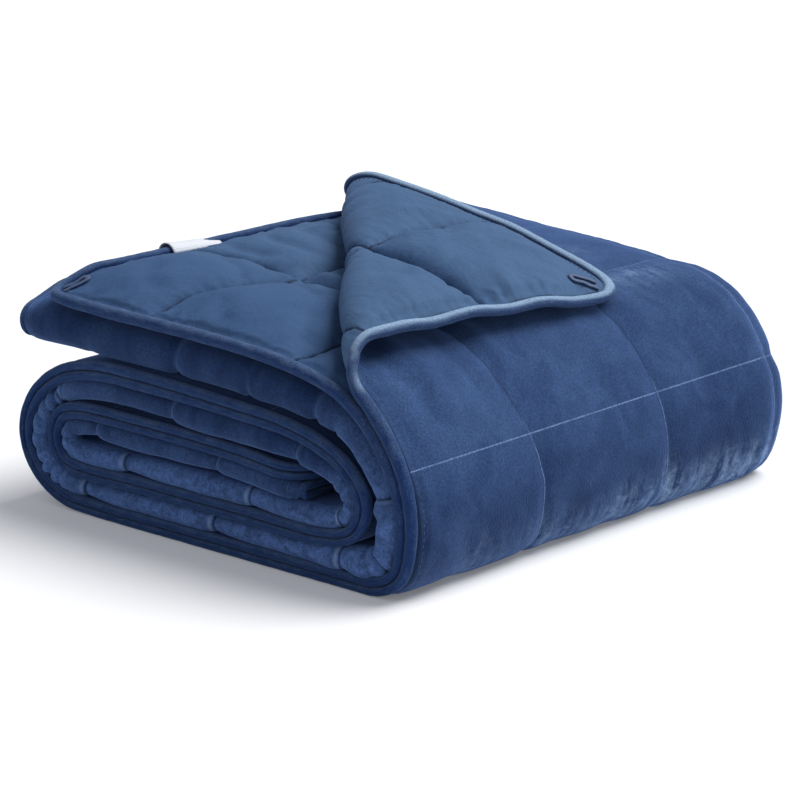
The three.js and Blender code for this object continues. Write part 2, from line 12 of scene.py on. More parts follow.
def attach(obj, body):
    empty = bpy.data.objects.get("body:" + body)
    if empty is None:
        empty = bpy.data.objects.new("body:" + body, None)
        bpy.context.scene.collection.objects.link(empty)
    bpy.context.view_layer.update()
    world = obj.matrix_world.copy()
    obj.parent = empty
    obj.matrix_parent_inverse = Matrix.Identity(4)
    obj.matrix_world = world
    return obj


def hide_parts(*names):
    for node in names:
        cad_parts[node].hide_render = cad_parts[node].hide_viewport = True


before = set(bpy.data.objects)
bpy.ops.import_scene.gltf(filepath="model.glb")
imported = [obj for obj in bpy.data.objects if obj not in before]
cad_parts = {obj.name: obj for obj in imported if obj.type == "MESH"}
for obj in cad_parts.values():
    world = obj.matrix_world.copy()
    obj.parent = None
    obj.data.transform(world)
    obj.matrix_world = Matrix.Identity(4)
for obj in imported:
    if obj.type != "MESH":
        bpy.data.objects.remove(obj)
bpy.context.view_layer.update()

bl_info = {
    "name": "Folded quilted blanket",
    "version": (1, 0, 0),
    "blender": (4, 5, 0),
    "location": "View3D > Sidebar > Blanket",
    "description": "Velvet, lining, binding and sewing of a blanket that is folded in four and rolled",
    "category": "Object",
}

MM = 0.001
BODY = "root"

# The flat blanket, in millimetres
SQUARE = 127.0
SQUARES_ACROSS = 12
WIDTH = SQUARE * SQUARES_ACROSS
LENGTH = 1592.0
CORNER_ROUND = 18.0

# How it is folded across its width, as in the solids
FRONT_Y = -186.5
BACK_Y = 203.0
FRONT_FOLD_Y = -186.0
INNER_FOLD_SETBACK = 14.0
HALF_FLAT = 2.6
OUTER_FACE = 3 * SQUARE
STRETCHES = (OUTER_FACE, 28.0, 369.0, 10.0, 362.0, 10.0, 364.0)
BREAKS = np.concatenate([[0.0], np.cumsum(STRETCHES)])
RETURNS_START, RETURNS_END = BREAKS[2], BREAKS[5]
FRONT_FOLD = (BREAKS[3] + BREAKS[4]) / 2
BACK_SWELL, SWELL_RISE, SWELL_FALL = 7.0, (225, 290), (400, 460)

# The roll: X and Z of the strip's middle line, and the distances outer face to inner face,
# inner face to inner return, inner return to outer return
ROLL = np.array((
    (-186, 150.4, 9, 9, 17), (-142, 154, 9, 10, 18), (-84, 150.5, 9, 11, 17), (-4, 144, 9, 11, 15.5),
    (56, 136.5, 10, 11, 15), (94, 129, 12, 10, 14),
    # right turn
    (118, 121, 12, 9, 13.5), (139, 106, 10, 8, 13), (158, 80, 9, 7.5, 13.5), (164.5, 60, 8.5, 7, 14),
    (165, 40, 8.5, 7, 13.5), (160.5, 21, 7.5, 6.5, 11), (146, 12.4, 6.4, 6, 8.5), (120, 11.3, 5.8, 5.8, 6.5),
    # bottom
    (56, 11.3, 5.8, 5.8, 6.5), (-50, 11.3, 5.8, 5.8, 6.5), (-106, 11.3, 5.8, 5.8, 6.5),
    # left turn
    (-140, 14.6, 5.8, 5.8, 6), (-162, 28.6, 5.8, 5.8, 6), (-170, 48.6, 5.8, 5.8, 6), (-161, 71, 6.2, 5.8, 6),
    (-137.5, 88.4, 7, 6, 6), (-106, 95.5, 8.5, 6.5, 6.5),
    # second pass
    (-50, 96, 8, 6.5, 7), (20, 93.5, 7, 6.2, 7), (70, 90.5, 6.2, 6, 6.2), (100, 84, 5.8, 5.8, 5.8),
    (121, 73, 5.8, 5.8, 5.8), (132, 57, 5.8, 5.8, 5.8), (125, 42, 5.8, 5.8, 5.8), (104, 36, 5.8, 5.8, 6),
    (40, 36, 5.8, 5.8, 7), (-60, 36.5, 5.8, 5.8, 7), (-126, 36.8, 5.8, 5.8, 5.8),
    # innermost turn and pass
    (-136.6, 41, 5.8, 5.8, 5.8), (-141, 51.2, 5.8, 5.8, 5.8), (-136.6, 61.4, 5.8, 5.8, 5.8),
    (-126, 65.8, 5.8, 5.8, 5.8), (-60, 66.8, 6, 6, 7), (30, 64.5, 6, 5.8, 6), (70, 60.8, 5.8, 5.8, 5.8),
    (110, 59.8, 5.8, 5.8, 5.8),
), float)
FREE_END_ROW = 1
ROLL_TO_FRAME = np.array((-3.059, -4.514, 0.0))  # the roll's own zero, seen from the frame's origin

# How the free end lies
FOLD_REACH, FOLD_REACH_FADE = 36.0, 260.0
FRONT_SAG, SAG_RISE, SAG_FALL, SAG_FROM = 6.5, (-60, 60), (235, 310), 0.72
FRONT_DROOP, DROOP_FADE, DROOP_WIDTH = 12.0, 280.0, 46.0
BACK_DROOP, BACK_DROOP_FADE, BACK_DROOP_RISE = 7.0, (180, 330), (40, 200)
CORNER_REACH, CORNER_REACH_WIDTH, CORNER_REACH_FADE = 9.0, 70.0, 130.0

# The turned-back corner
CREASE_ALONG, CREASE_ACROSS = 249.0, 297.0
CREASE_RADIUS = (11.5, 13.0)
CREASE_SPREAD, SPREAD_RISE = 0.44, (130, 400)
TIP_HEIGHT = 10.0
TIP_SLIDE = np.array((-28.0, 22.0))
FLAP_FALL, FLAP_EASE = 0.64, 0.05
EDGE_LIFT, EDGE_LIFT_WIDTH = 6.0, 150.0
END_LIFT, END_LIFT_WIDTH, END_LIFT_RISE = 4.0, 140.0, (40, 120)
EDGE_WAVE, WAVE_STEP, WAVE_PHASE, WAVE_RISE, WAVE_FADE = 1.3, 10.5, 0.6, (0.02, 0.2), (-2, 34)
FLAP_BLEND = (-4, 8)

# Seams across the cloth, along the outer face, the front fold and the inner face
ROW_SEAMS = np.array((
    (0, 0, 0), (123, 130, 106), (230, 242, 216), (323, 335, 326), (430, 426, 436), (540, 541, 546),
    (650, 664, 656), (760, 780, 766), (870, 895, 876), (980, 1010, 986), (1090, 1095, 1096),
    (1200, 1176, 1206), (1310, 1293, 1316), (1420, 1405, 1426), (1530, 1520, 1536), (1640, 1640, 1646),
), float)
ROW = 110.0
ROW_BLEND = 40.0  # how far from the front fold the returns take over its rows
# How far the inner face's first seam runs out towards the free end, and where, from the front edge
INNER_SEAM_BEND, INNER_BEND_SPAN = 20.0, (30, 115)
# Seams along the cloth; the first two wander on the outer face
COLUMN_SEAMS = np.array((0, 127, 254, 381, 508, 620, 735, 889, 1016, 1143, 1270, 1397, 1524), float)
FIRST_COLUMN = ((0, 127), (120, 122), (230, 109), (300, 117), (350, 127))
SECOND_COLUMN = ((0, 254), (230, 254), (400, 264))


def smooth(x, low, high):
    """0 up to the low value, 1 from the high one, and an even rise between."""
    t = np.clip((x - low) / (high - low), 0, 1)
    return t * t * (3 - 2 * t)


def fade(x, low, high):
    """1 up to the low value, 0 from the high one."""
    return 1 - smooth(x, low, high)


def between(x, rise, fall):
    """0 before the rise, 1 from there to the fall, 0 after it."""
    return smooth(x, *rise) * fade(x, *fall)


def hump(x, centre, half_width):
    """1 at the centre, falling softly to 0 on both sides."""
    return np.exp(-(((x - centre) / half_width) ** 2))


def lerp(a, b, t):
    return a + (b - a) * t


def unit(v):
    return v / np.maximum(np.linalg.norm(v, axis=-1, keepdims=True), 1e-9)


NOISE_CELLS = 128


def noise(x, y, seed):
    """Smooth noise about zero, from -1 to 1, one cell per unit."""
    grid = np.random.default_rng(seed).uniform(-1, 1, (NOISE_CELLS, NOISE_CELLS))
    x, y = np.broadcast_arrays(np.asarray(x, float), np.asarray(y, float))
    i, j = np.floor(x).astype(int), np.floor(y).astype(int)
    fx, fy = smooth(x - i, 0, 1), smooth(y - j, 0, 1)

    def at(a, b):
        return grid[a % NOISE_CELLS, b % NOISE_CELLS]

    return lerp(lerp(at(i, j), at(i + 1, j), fx), lerp(at(i, j + 1), at(i + 1, j + 1), fx), fy)


class Strip:
    """The folded strip's middle line, as a centripetal Catmull-Rom curve through the roll's rows."""

    STEPS = 80

    def __init__(self):
        points = ROLL[:, :2]
        ends = np.vstack([2 * points[0] - points[1], points, 2 * points[-1] - points[-2]])
        pieces = []
        for i in range(len(points) - 1):
            p0, p1, p2, p3 = ends[i:i + 4]
            d0, d1, d2 = (np.sum((b - a) ** 2) ** 0.25 for a, b in ((p0, p1), (p1, p2), (p2, p3)))
            t1 = ((p1 - p0) / d0 - (p2 - p0) / (d0 + d1) + (p2 - p1) / d1) * d1
            t2 = ((p2 - p1) / d1 - (p3 - p1) / (d1 + d2) + (p3 - p2) / d2) * d1
            w = (np.arange(self.STEPS + (i == len(points) - 2)) / self.STEPS)[:, None]
            squared, cubed = 3 * (p2 - p1) - 2 * t1 - t2, 2 * (p1 - p2) + t1 + t2
            pieces.append(p1 + t1 * w + squared * w**2 + cubed * w**3)
        self.points = np.vstack(pieces)
        steps = np.linalg.norm(np.diff(self.points, axis=0), axis=1)
        self.length = np.concatenate([[0], np.cumsum(steps)])
        self.start = self.length[FREE_END_ROW * self.STEPS]
        self.ahead = unit(np.gradient(self.points, self.length, axis=0))
        self.row = np.arange(len(self.points)) / self.STEPS

    def at(self, along):
        """Place, outward direction and the four layers' offsets at a distance from the free end."""
        s = np.clip(self.start + along, 0, self.length[-1])
        x, z, ahead_x, ahead_z, row = (np.interp(s, self.length, values)
                                       for values in (*self.points.T, *self.ahead.T, self.row))
        norm = np.hypot(ahead_x, ahead_z)
        gap = [np.interp(row, np.arange(len(ROLL)), ROLL[:, k]) for k in (2, 3, 4)]
        half = gap[1] / 2
        layers = (half + gap[0], half, -half, -half - gap[2])
        return x, z, -ahead_z / norm, ahead_x / norm, layers


STRIP = Strip()


def reach(along, across):
    """How much further out the returns and the inner face's corner lie, at the free end."""
    share = np.where(across < FRONT_FOLD, smooth(across, RETURNS_START, FRONT_FOLD),
                     fade(across, FRONT_FOLD, RETURNS_END))
    corner = smooth(across, WIDTH - CORNER_REACH_WIDTH, WIDTH) * fade(along, 0, CORNER_REACH_FADE)
    return FOLD_REACH * share * fade(along, 0, FOLD_REACH_FADE) + CORNER_REACH * corner


def rolled(along, across):
    """Middle surface of the cloth, folded and rolled, before its corner is turned back."""
    x, z, nx, nz, (outer, inner, inner_return, outer_return) = STRIP.at(along - reach(along, across))
    t = np.clip(across, 0, WIDTH)
    k = np.clip(np.searchsorted(BREAKS, t, side="left") - 1, 0, len(STRETCHES) - 1)
    share = (t - BREAKS[k]) / (BREAKS[k + 1] - BREAKS[k])
    outer_back = outer + BACK_SWELL * smooth(along, *SWELL_RISE) * fade(along, *SWELL_FALL)
    back = BACK_Y - HALF_FLAT - (outer_back - outer_return) / 2
    inner_back = back - INNER_FOLD_SETBACK
    sag = FRONT_SAG * smooth(along, *SAG_RISE) * fade(along, *SAG_FALL)
    front = FRONT_FOLD_Y + (inner_return - outer_return + sag) / 2

    def fold(a, b, axis, side):
        radius = (a - b) / 2
        turn = np.pi * share
        return axis + side * np.abs(radius) * np.sin(turn), (a + b) / 2 + radius * np.cos(turn)

    back_fold = fold(outer_back, outer_return, back, 1)
    front_fold = fold(outer_return - sag, inner_return, front, -1)
    inner_fold = fold(inner_return, inner, inner_back, 1)
    over = across - np.clip(across, 0, WIDTH)  # past a cut edge, into the binding
    y = np.choose(k, [lerp(FRONT_Y, back, share) + over, back_fold[0],
                      lerp(back, front, share), front_fold[0],
                      lerp(front, inner_back, share), inner_fold[0],
                      lerp(inner_back, FRONT_Y, share) - over])
    n = np.choose(k, [lerp(outer, outer_back, share**2), back_fold[1],
                      outer_return - sag * smooth(share, SAG_FROM, 1), front_fold[1],
                      inner_return + 0 * share, inner_fold[1],
                      inner + 0 * share])
    droop = FRONT_DROOP * fade(along, 0, DROOP_FADE) * fade(y, FRONT_Y, FRONT_Y + DROOP_WIDTH)
    droop = droop + BACK_DROOP * fade(along, *BACK_DROOP_FADE) * smooth(y, *BACK_DROOP_RISE)
    return np.stack([x + nx * n, y, np.maximum(z + nz * n - droop, HALF_FLAT)], -1)


def directions(surface, along, across, probe=0.4):
    """Unit directions along and across a surface and out of its velvet side."""
    low, high = across - probe, across + probe
    ahead = unit(surface(along + probe, across) - surface(along - probe, across))
    aside = unit(surface(along, high) - surface(along, low))
    return ahead, aside, unit(np.cross(ahead, aside))


CREASE_LENGTH = math.hypot(CREASE_ALONG, CREASE_ACROSS)
CREASE_DIR = np.array((-CREASE_ALONG, CREASE_ACROSS)) / CREASE_LENGTH
CORNER_DIR = np.array((-CREASE_ACROSS, -CREASE_ALONG)) / CREASE_LENGTH
TIP_DISTANCE = -CORNER_DIR[0] * CREASE_ALONG


def crease_frame(along, across):
    """Distance along the crease, distance past it towards the corner, and the radius of its turn."""
    run = (along - CREASE_ALONG) * CREASE_DIR[0] + across * CREASE_DIR[1]
    past = (along - CREASE_ALONG) * CORNER_DIR[0] + across * CORNER_DIR[1]
    radius = lerp(*CREASE_RADIUS, run / CREASE_LENGTH)
    return run, past, radius


def eased(share):
    """The flap's fall from the crease to the tip, level where it leaves the crease."""

    def fall(x):
        return (x * x + FLAP_EASE**2) ** (FLAP_FALL / 2) - FLAP_EASE**FLAP_FALL

    return fall(share) / fall(1.0)


def turned_back(along, across):
    """Middle surface of the cloth round the crease and on the corner that is turned back."""
    run, past, radius = crease_frame(along, across)
    quarter = np.pi / 2 * radius
    share = np.clip((past - quarter) / (TIP_DISTANCE - quarter), 0, 1.05)
    back = np.maximum(past, quarter)
    under_along = CREASE_ALONG + CREASE_DIR[0] * run - CORNER_DIR[0] * back + TIP_SLIDE[0] * share
    under_across = CREASE_DIR[1] * run - CORNER_DIR[1] * back + TIP_SLIDE[1] * share
    base = rolled(under_along, under_across)
    ahead, aside, out = directions(rolled, under_along, under_across)
    turn = ((past + quarter) / radius)[:, None]
    towards = unit(ahead * CORNER_DIR[0] + aside * CORNER_DIR[1])
    r = radius[:, None]
    spread = (1 + CREASE_SPREAD * smooth(run, *SPREAD_RISE))[:, None]
    creased = base + towards * r * spread * np.sin(turn) + out * r * (1 - np.cos(turn))
    arch = EDGE_LIFT * np.sin(np.pi * np.minimum(share, 1)) * np.clip(1 - across / EDGE_LIFT_WIDTH, 0, 1)
    wave = EDGE_WAVE * np.sin(along / WAVE_STEP + WAVE_PHASE)
    wave = wave * smooth(share, *WAVE_RISE) * fade(across, *WAVE_FADE)
    fall = eased(share)
    end_arch = END_LIFT * np.sin(np.pi * np.clip(fall, 0, 1)) * fade(along, 0, END_LIFT_WIDTH)
    end_arch = end_arch * smooth(across, *END_LIFT_RISE)
    laid = base + out * (lerp(2 * radius, TIP_HEIGHT, fall) + arch + end_arch + wave)[:, None]
    return np.where((past < quarter)[:, None], creased, laid)


def middle(along, across):
    """Middle surface of the cloth, corner turned back."""
    along, across = np.broadcast_arrays(np.asarray(along, float), np.asarray(across, float))
    place = rolled(along, across)
    _, past, radius = crease_frame(along, across)
    on = (across <= OUTER_FACE) & (past + np.pi / 2 * radius > 0)
    if on.any():
        place[on] = turned_back(along[on], across[on])
    return place


def on_flap(along, across):
    """1 on the turned-back corner, 0 elsewhere."""
    _, past, radius = crease_frame(along, across)
    return smooth(past + np.pi / 2 * radius, *FLAP_BLEND) * (across <= OUTER_FACE)


def bare_length(across):
    """How far along the inner face lies bare, up to the turned-back corner."""
    return CREASE_ALONG * (1 - (WIDTH - across) / CREASE_ACROSS)


def squares(along, across):
    """The quilting: number of squares along and across, whole numbers on the seams."""
    to_fold = smooth(across, RETURNS_START, FRONT_FOLD - ROW_BLEND)
    to_inner = smooth(across, FRONT_FOLD + ROW_BLEND, RETURNS_END)
    knots = [lerp(lerp(a, b, to_fold), c, to_inner) for a, b, c in ROW_SEAMS]
    knots[1] = knots[1] - INNER_SEAM_BEND * fade(WIDTH - across, *INNER_BEND_SPAN)
    row = sum(np.clip((along - a) / (b - a), 0, 1) for a, b in zip(knots, knots[1:]))
    columns = [np.full_like(along, k) for k in COLUMN_SEAMS]
    for number, table in ((1, FIRST_COLUMN), (2, SECOND_COLUMN)):
        columns[number] = np.interp(along, *zip(*table))
    column = sum(np.clip((across - a) / (b - a), 0, 1) for a, b in zip(columns, columns[1:]))
    return row, column


def from_edge(along, across):
    """Distance from the nearest cut edge."""
    return np.minimum(np.minimum(across, WIDTH - across), np.minimum(along, LENGTH - along))


CREASE_STARTS, CREASE_STOPS = (-0.15, 0.2), (0.75, 1.15)  # in lengths of the crease


def hand_creases(along, across, rows):
    """Soft troughs and ridges, each from one flat point to another: width, height and bow."""
    height = np.zeros_like(along)
    for a0, c0, a1, c1, width, rise, bow in rows:
        da, dc = a1 - a0, c1 - c0
        long = math.hypot(da, dc)
        run = ((along - a0) * da + (across - c0) * dc) / long
        d = ((across - c0) * da - (along - a0) * dc) / long
        x = run / long
        d = d - bow * 4 * x * (1 - x)
        height += rise * hump(d, 0, width) * between(x, CREASE_STARTS, CREASE_STOPS)
    return height


# Creases of the lining: from and to (along, across), half width, height, bow
LINING_CREASES = (
    (30, WIDTH - 60, 70, WIDTH - 30, 9, -1.3, 4), (52, WIDTH - 104, 96, WIDTH - 78, 7, -1.1, -5),
    (112, WIDTH - 118, 158, WIDTH - 92, 6, -1.2, 5), (120, WIDTH - 40, 150, WIDTH - 12, 8, -1.0, 3),
    (20, WIDTH - 182, 92, WIDTH - 168, 7, -1.4, 7), (26, WIDTH - 214, 96, WIDTH - 204, 8, -1.3, 9),
    (12, WIDTH - 150, 70, WIDTH - 142, 6, -1.1, 5), (112, WIDTH - 140, 170, WIDTH - 146, 6, 1.2, 5),
    (180, WIDTH - 60, 208, WIDTH - 24, 8, -1.2, 4), (60, WIDTH - 250, 104, WIDTH - 232, 8, -1.2, 6),
    # on the turned-back corner
    (20, 146, 92, 196, 9, -1.5, 8), (14, 176, 70, 224, 8, -1.3, 7), (40, 140, 110, 160, 7, 1.3, 6),
    (28, 40, 96, 62, 10, -1.3, 6), (18, 84, 84, 110, 8, -1.2, -6), (132, 20, 176, 60, 9, -1.3, 5),
    (130, 84, 190, 100, 8, -1.2, 6), (118, 132, 168, 158, 6, -1.6, 5), (60, 96, 112, 118, 6, 1.0, -4),
    (26, 22, 66, 48, 7, -1.0, 3), (14, 44, 50, 72, 6, 0.8, -3), (44, 12, 92, 26, 6, -0.8, 3),
    (10, 212, 44, 246, 6, -1.2, 4), (24, 226, 60, 262, 6, 1.0, 4), (150, 112, 186, 134, 6, -1.3, -4),
)
# Creases of the velvet on the top and the right turn, in the same order
VELVET_CREASES = (
    (236, 22, 300, 40, 11, -1.6, 5), (240, 52, 306, 66, 12, 1.4, -6), (250, 84, 312, 92, 10, -1.3, 5),
    (232, 116, 286, 128, 9, 1.3, 4), (262, 128, 330, 150, 14, -0.9, 6), (244, 190, 320, 204, 16, -0.8, 6),
    (250, 300, 330, 318, 16, -0.8, -6), (352, 40, 418, 52, 13, -0.8, 5), (362, 150, 430, 160, 13, -0.8, 5),
    (360, 214, 430, 222, 12, -0.8, -5), (366, 300, 430, 306, 12, -0.9, 4), (300, 8, 350, 20, 7, -0.9, 3),
)
# Puckers of the front folds where the roll turns: first and last place along, height, spacing
TURN_PUCKERS = (
    (285, 430, 2.4, 25.0), (676, 800, 3.2, 13.0), (1036, 1120, 1.7, 14.0), (1326, 1396, 1.4, 11.0),
)
# How far the pile of the front folds is rubbed and brushed over, which also paints highlights on them: place
# along, rubbed, brushed
FOLD_NAP_AND_HIGHLIGHT = (
    (0, 0.0, 0.1), (240, 0.05, 0.12), (320, 0.4, 0.45), (440, 0.95, 0.8), (690, 0.95, 0.8), (790, 0.25, 0.4),
    (860, 0.05, 0.12), (1030, 0.1, 0.15), (1110, 0.7, 0.6), (1320, 0.75, 0.65), (1400, 0.15, 0.25),
    (1592, 0.15, 0.25),
)
# Nips on the lower side of the top fold: place along, half width, depth
FOLD_NIPS = ((130, 4.0, 2.6), (187, 3.0, 2.2), (242, 4.0, 2.6), (266, 3.0, 2.0), (60, 5.0, 1.0))


def seam_distance(number, spacing):
    """Distance from the nearest seam, from the number of squares."""
    return np.abs(number - np.round(number)) * spacing


GATHER_REACH = (30, 16)  # how far from a seam its wide and its narrow gathers change
NARROW_GATHERS, NARROW_SHARE = 2.3, 0.5  # how much closer the narrow ones lie, and their share


def gathers(d, along_seam, seed, spacing, depth, spread):
    """Small puckers that run out from a seam, uneven along it."""
    wide = noise(along_seam / spacing, d / GATHER_REACH[0] + seed, seed)
    narrow = noise(along_seam / spacing * NARROW_GATHERS, d / GATHER_REACH[1], seed + 1)
    return depth * (wide + NARROW_SHARE * narrow) * np.exp(-d / spread)


FLAP_BEND, BEND_REACH = 8.0, (4.0, 7.0)  # depth, and reach towards the free end and away from it
BEND_ROWS, BEND_FADE = 0.3, (0.85, 1.1)  # in squares along and across


def flap_bend(along, across, row, column):
    """How deep the turned-back corner bends along its first seam, beside the front edge."""
    depth = FLAP_BEND * np.exp(-seam_distance(row, ROW) / np.where(row < 1, *BEND_REACH))
    return on_flap(along, across) * depth * hump(row, 1, BEND_ROWS) * fade(column, *BEND_FADE)


PUCKER_ENDS = 22.0
PUCKER_SLANT, PUCKER_WANDER = 0.35, 1.5
PUCKER_SHARPNESS, PUCKER_LEVEL = 0.7, 0.6


def puckers(along, across):
    """The front folds' puckers where the roll turns: height, and how far up a ridge each place is."""
    height, ridge = np.zeros_like(along), np.zeros_like(along)
    bent = along + PUCKER_SLANT * (across - FRONT_FOLD) * noise(along / 30, 0.5, 19)
    wander = PUCKER_WANDER * noise(along / 29, across / 40, 23)
    uneven = np.clip(0.75 + 1.1 * noise(along / 13, across / 16, 29), 0.1, 1.6)
    for first, last, rise, spacing in TURN_PUCKERS:
        here = between(along, (first, first + PUCKER_ENDS), (last - PUCKER_ENDS, last))
        up = np.abs(np.sin(np.pi * (bent / spacing + wander))) ** PUCKER_SHARPNESS
        height += rise * here * (up - PUCKER_LEVEL) * uneven
        ridge += here * up * np.clip(uneven, 0, 1)
    return height, ridge


# The velvet's outer face: where it ends across and along, and where the right turn draws it taut
FACE_END_ACROSS, FACE_END_ALONG, TAUT = (OUTER_FACE + 16, OUTER_FACE + 40), (440, 490), (300, 350)
# How deep its seams dip and how far from them, loose and taut, and the share of that near the floor
ROW_DIP, ROW_DIP_REACH = (0.55, 0.3), 9
COLUMN_DIP, COLUMN_DIP_REACH = (1.0, 0.62), (15, 8)
LOW_DIP, LOW_DIP_FROM = 0.3, (375, 425)
# Its back edge is full: where across and how wide, where it rises and falls along, and how much
BACK_EDGE = (376, 36)
BACK_EDGE_FULL = (((110, 200), (215, 300), 2.5), ((215, 300), (330, 395), 4.5))
BACK_SEAM_DIP, BACK_SEAM_WIDTH, BACK_SEAM_SPAN = 0.7, 2.8, ((200, 250), (430, 460))
BACK_NOTCH, NOTCH_ACROSS, NOTCH_LENGTH = 1.4, (OUTER_FACE + 6, 12), 6
# The lower side of the right turn is full too
LOW_SIDE_FULL, LOW_SIDE, LOW_SIDE_SPAN = 2.6, (418, 26), ((20, 90), (310, 370))
VELVET_CREASE_DEPTH, TAUT_GATHERS = 1.3, 0.4


def outer_face(along, across, row_d, column_d, sizes):
    """Height of the velvet's outer face: crowned squares with creases and gathers."""
    free = fade(across, *FACE_END_ACROSS) * fade(along, *FACE_END_ALONG)
    taut = smooth(along, *TAUT)
    crown, seam = sizes.velvet_crown / MM, sizes.seam_half / MM
    row_dip = lerp(*ROW_DIP, taut) * np.exp(-row_d / ROW_DIP_REACH)
    column_dip = lerp(*COLUMN_DIP, taut) * lerp(1.0, LOW_DIP, smooth(along, *LOW_DIP_FROM))
    column_dip = column_dip * np.exp(-column_d / lerp(*COLUMN_DIP_REACH, taut))
    height = lerp(HALF_FLAT, seam + (crown - seam) * (1 - row_dip) * (1 - column_dip), free)
    full = sum(rise * between(along, up, down) for up, down, rise in BACK_EDGE_FULL)
    height += full * hump(across, *BACK_EDGE)
    height -= BACK_SEAM_DIP * hump(across, OUTER_FACE, BACK_SEAM_WIDTH) * between(along, *BACK_SEAM_SPAN)
    height -= BACK_NOTCH * hump(across, *NOTCH_ACROSS) * hump(along, ROW_SEAMS[3, 0], NOTCH_LENGTH)
    height += LOW_SIDE_FULL * hump(along, *LOW_SIDE) * between(across, *LOW_SIDE_SPAN)
    height += free * hand_creases(along, across, VELVET_CREASES) * VELVET_CREASE_DEPTH
    drawn = gathers(column_d, along, seed=11, spacing=9.0, depth=0.5, spread=9.0)
    height += free * drawn * lerp(1.0, TAUT_GATHERS, taut)
    return height + free * gathers(row_d, across, seed=17, spacing=8.0, depth=0.22, spread=6.0)


# The front folds, in distances from the fold's middle line: where the fold, the part that hangs over the
# layer below, and its nipped lower side rise and fall
FOLD_SPAN, OVERHANG_SPAN, NIP_SPAN = ((-30, -8), (8, 30)), ((-40, -12), (-2, 8)), ((-42, -16), (-4, 10))
# Where the overhang rises and falls along, and how far it hangs
FOLD_OVERHANGS = (((850, 930), (1010, 1050), 2.8), ((385, 410), (425, 455), 4.0))
# From the free end to inside the roll: a square's pillow, and its crest
IN_THE_ROLL, PILLOW, CREST = (230, 320), (0.3, 1.0), (1.5, 3.6)
PILLOW_ENDS, PILLOW_LEVEL, CREST_WIDTH, CREST_AT_SEAM = (4, 18), 0.7, 5, 0.25
PUCKER_WIDTH, PUCKER_BASE, FOLD_LUMPS = 11, 0.3, 0.5


def front_folds(along, across, row):
    """Relief of the velvet's front folds: pillows, nipped at the seams and puckered where the roll turns."""
    off = across - FRONT_FOLD
    fold = between(off, *FOLD_SPAN)
    after = (row - np.floor(row)) * ROW
    pillow = (1 - np.exp(-after / PILLOW_ENDS[0])) * (1 - np.exp(-(ROW - after) / PILLOW_ENDS[1]))
    inside = smooth(along, *IN_THE_ROLL)
    height = fold * (pillow - PILLOW_LEVEL) * lerp(*PILLOW, inside)
    height += hump(off, 0, CREST_WIDTH) * lerp(*CREST, inside) * lerp(CREST_AT_SEAM, 1.0, pillow)
    height += lerp(hump(off, 0, PUCKER_WIDTH), fold, PUCKER_BASE) * puckers(along, across)[0]
    overhang = sum(rise * between(along, up, down) for up, down, rise in FOLD_OVERHANGS)
    height += between(off, *OVERHANG_SPAN) * overhang
    for place, width, depth in FOLD_NIPS:
        height -= between(off, *NIP_SPAN) * depth * hump(along, place, width)
    return height + fold * FOLD_LUMPS * noise(along / 21, across / 13, 31)


EDGE_HALF = 0.9  # either face over the middle surface, inside the binding
VELVET_EDGE_DIP, VELVET_EDGE_LINE, VELVET_EDGE = 1.0, (5.2, 1.5), (-2, 5)


def velvet_height(along, across, sizes):
    """Height of the velvet over the middle surface."""
    row, column = squares(along, across)
    height = outer_face(along, across, seam_distance(row, ROW), seam_distance(column, SQUARE), sizes)
    height += front_folds(along, across, row) + flap_bend(along, across, row, column)
    edge = from_edge(along, across)
    height -= VELVET_EDGE_DIP * hump(edge, *VELVET_EDGE_LINE)
    return lerp(EDGE_HALF, height, smooth(edge, *VELVET_EDGE))


# The lining where it lies bare: blends into the hidden cloth
INNER_FACE_START, BARE_BLEND = (WIDTH - OUTER_FACE, WIDTH - OUTER_FACE + 20), (-30, 10)
# A square's crown: steep beside its seams and domed, lower at the corners, the free end and the crease
STEEP_REACH, STEEP_SHARE, DOME_ROUND = 8, 0.45, 0.8
CORNER_CROWN, CORNER_SPAN, END_CROWN, END_SPAN = 0.45, (20, 75), 0.5, (2, 45)
CREASE_CROWN, CREASE_SPAN = 0.4, (8, 45)
# Creases, and gathers: how strong on the inner face and on the corner, and where seams cross
LINING_CREASE_DEPTH, GATHER_SHARES, CROSSING, CROSSING_REACH = 2.4, (0.6, 1.2), 1.1, 28
SEWN_FLAT, SEAM_SINK, SEAM_SINK_REACH, SINK_FROM_EDGE = 1.5, 2.0, 1.8, (6, 12)
# Soft billows of 14 by 46 mm, on the slant, and lumps
BILLOWS, LUMPS, SLANT = 1.6, 1.0, (0.8, 0.6)
# The edge is drawn in by the binding's sewing; the turned-back end lies smoother
EVEN_END, EVEN_SPAN = 0.75, (12, 35)
LINING_EDGE_DIP, LINING_EDGE_LINE, LINING_EDGE = 0.9, (5.4, 1.4), (-2, 9)


